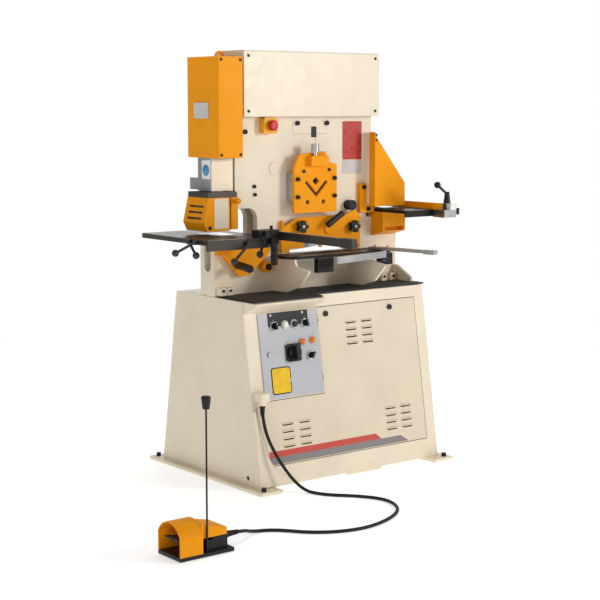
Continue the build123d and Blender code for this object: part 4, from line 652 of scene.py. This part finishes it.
def make_panel_marks():
    for side, control in (("left", SELECTOR_LEFT), ("right", SELECTOR_RIGHT)):
        for index, angle in enumerate((135, 90, 45)):
            tick(f"mark_{side}_{index}", on_face(control, STRIP_MARKS), angle, MARK_RADIUS, MARK_LENGTH)
    for index, angle in enumerate((180, 90)):
        tick(f"mark_small_{index}", on_face(SELECTOR_SMALL), angle, MARK_RADIUS, MARK_LENGTH)
    for index, angle in enumerate((90, 0)):
        tick(f"mark_main_{index}", on_face(MAIN_SWITCH), angle, 0.038, 0.006)
    panel_plate("main_switch_cover", 0.0664, 0.0664, MAIN_SWITCH, "black", 0.006, 0.0092)
    plug = [(0, 0.0026), (0.0042, 0.0024), (0.0056, 0.0012), (0.006, 0), (0, 0)]
    turned("panel_plug", plug, on_face(PANEL_PLUG), "panel", "control_door", 28)
    barrel = [(0, 0.0034), (0.0052, 0.0034), (0.0058, 0.0028), (0.0062, 0.0034)]
    barrel += [(0.0092, 0.0030), (0.0098, 0), (0, 0)]
    turned("panel_lock", barrel, on_face(PANEL_LOCK), "black", "control_door", 32)
    for index, place in enumerate(STUDS_AT):
        panel_ring(f"panel_stud_{index}", plug, place, 24, STRIP_TOP)
    for index, (body, control, tilt) in enumerate(SELECTOR_HANDLES):
        lean = Matrix.Rotation(math.radians(tilt), 4, "Z") @ Matrix.Translation((0, 0.0068, 0))
        outline = rounded_outline(0.0014, 0.0105, 0.0006, 3)
        printed(f"pointer_{index}", outline, on_face(control, HANDLE_TOP) @ lean, body)


def make_front_marks():
    # The black plate fills the sight slot: painted shade of the slot's dark inside
    slot = on_front(0.030, 1.296, PLATE_FRONT)
    small_plate("sight_slot", 0.026, 0.042, slot, "black", radius=0.003)
    for name, x, z, width, height in (
        ("seam_left", -0.073, 1.3155, SEAM, 0.053), ("seam_across_left", -0.030, 1.289, 0.086, SEAM),
        ("seam_across_right", 0.070, 1.289, 0.054, SEAM), ("seam_right", 0.038, 1.257, SEAM, 0.034),
    ):
        place = on_front(x, z, PLATE_FRONT)
        small_plate(name, width, height, place, "seam", radius=0.0005, thickness=0.0002)
    head = [(0, 0.0030), (0.0034, 0.0029), (0.0046, 0.0018), (0.0048, 0), (0, 0)]
    black_screw("front_plug", head, on_front(-0.258, 1.092, PLATE_FRONT))
    wide_head = [(radius * 1.5, height * 1.4) for radius, height in head]
    black_screw("hood_screw", wide_head, on_front(-0.474, 0.950, HOOD_FRONT))
    for index, z in enumerate((1.283, 1.262)):
        black_screw(f"guard_screw_{index}", head, on_front(0.2885, z, GUARD_FRONT))
    cap = [(0, 0.0030), (0.0050, 0.0028), (0.0066, 0.0014), (0.0068, 0), (0, 0)]
    for side, x, z in (("left", -0.062, 0.936), ("right", 0.199, 0.925)):
        place = on_front(x, z, KNOB_FRONT)
        turned(f"star_cap_{side}", cap, place, "steel", f"star_knob_{side}", 28)


def make_door_gap():
    """Shadow lines on the landing round the service door, and the pad under its sill."""
    for name, x, s, width, height in (
        ("gap_right", 0.39325, 0.357, GAP, 0.567), ("gap_bottom", 0.0068, 0.07475, 0.7755, GAP),
        ("gap_top", 0.14675, 0.63925, 0.4955, GAP), ("gap_step", -0.240, 0.31325, 0.278, GAP),
        ("gap_side", -0.10225, 0.475, GAP, 0.326),
    ):
        place = on_face((x, s), LANDING)
        small_plate(name, width, height, place, "gap", radius=0.0008, thickness=0.0006)
    sill = on_front(0.065, 0.0058, -0.300)
    small_plate("sill_pad", 0.160, 0.0116, sill, "cream", radius=0.001, thickness=0.018)


def make_rulers():
    strips = (
        ("gauge_rule", -0.299, -0.455, 0.941, 0.010, 0.400, "rule_y", "gauge"),
        ("fence_rule", 0.482, -0.150, 1.0145, 0.011, 0.280, "rule_y", "notch_fence"),
        ("notch_rule", 0.603, -0.030, 0.989, 0.010, 0.420, "rule_y", "machine"),
        ("punch_rule", -0.500, -0.214, 0.920, 0.170, 0.010, "rule_x", "machine"),
        ("shear_rule", 0.070, -0.172, 0.835, 0.420, 0.010, "rule_x", "machine"),
    )
    for name, x, y, z, width, length, finish, body in strips:
        small_plate(name, width, length, on_top(x, y, z), finish, body, 0.0015, 0.0005)


def make_fence_sleeves():
    """Enamel on the fence bar and a pale block on its outer end."""
    bar = on_top(0.482, -0.149, 0.9896)
    small_plate("fence_enamel", 0.0206, 0.3006, bar, "yellow", "notch_fence", 0.001, 0.0248)
    end = on_top(0.510, -0.292, 0.9898)
    small_plate("fence_block", 0.0326, 0.0606, end, "white", "notch_fence", 0.002, 0.0244)


def make_pedal_ribs():
    run = Vector((-0.104, 0, 0.017)).normalized()
    start = Vector((-1.014, -0.7805, 0.047))
    across = Vector((0, 1, 0))
    for index in range(6):
        place = frame_at(start + run * (0.034 + index * 0.0125), across, run)
        name = f"pedal_rib_{index}"
        small_plate(name, 0.072, 0.004, place, "dark", "foot_pedal", 0.0015, 0.0011)


def make_rear_screws():
    head = [(0, 0.0028), (0.0036, 0.0027), (0.0052, 0.0014), (0.0055, 0), (0, 0)]
    places = [(side * 0.336, s) for side in (-1, 1) for s in (0.112, 0.262, 0.412, 0.562)]
    places += [(x, s) for x in (-0.11, 0.11) for s in (0.104, 0.566)]
    for index, (x, s) in enumerate(places):
        black_screw(f"rear_screw_{index}", head, on_rear(x, s), 20)


def make_plates():
    """Plain plates where the machine has its notices."""
    notice = on_front(0.223, 1.261, PLATE_FRONT)
    small_plate("blank_plate_red", 0.098, 0.150, notice, "plate_red")
    below = on_front(0.223, 1.157, PLATE_FRONT)
    small_plate("blank_plate_grey", 0.098, 0.054, below, "plate_grey")
    small_plate("head_plate_white", 0.056, 0.070, on_left(-0.008, 1.162, HEAD_SIDE), "white")
    disc = [(0, 0.002), (0.021, 0.002), (0.021, 0.0012), (0, 0.0012)]
    turned("head_plate_disc", disc, on_left(-0.008, 1.160, HEAD_SIDE), "plate_blue")
    small_plate("cover_plate", 0.096, 0.058, on_left(0.020, 1.379, COVER_SIDE), "plate_grey")


make_camera()
make_cord()
dress_nodes()
make_panel_trim()
make_panel_marks()
make_front_marks()
make_door_gap()
make_rulers()
make_fence_sleeves()
make_pedal_ribs()
make_rear_screws()
make_plates()
make_studio()
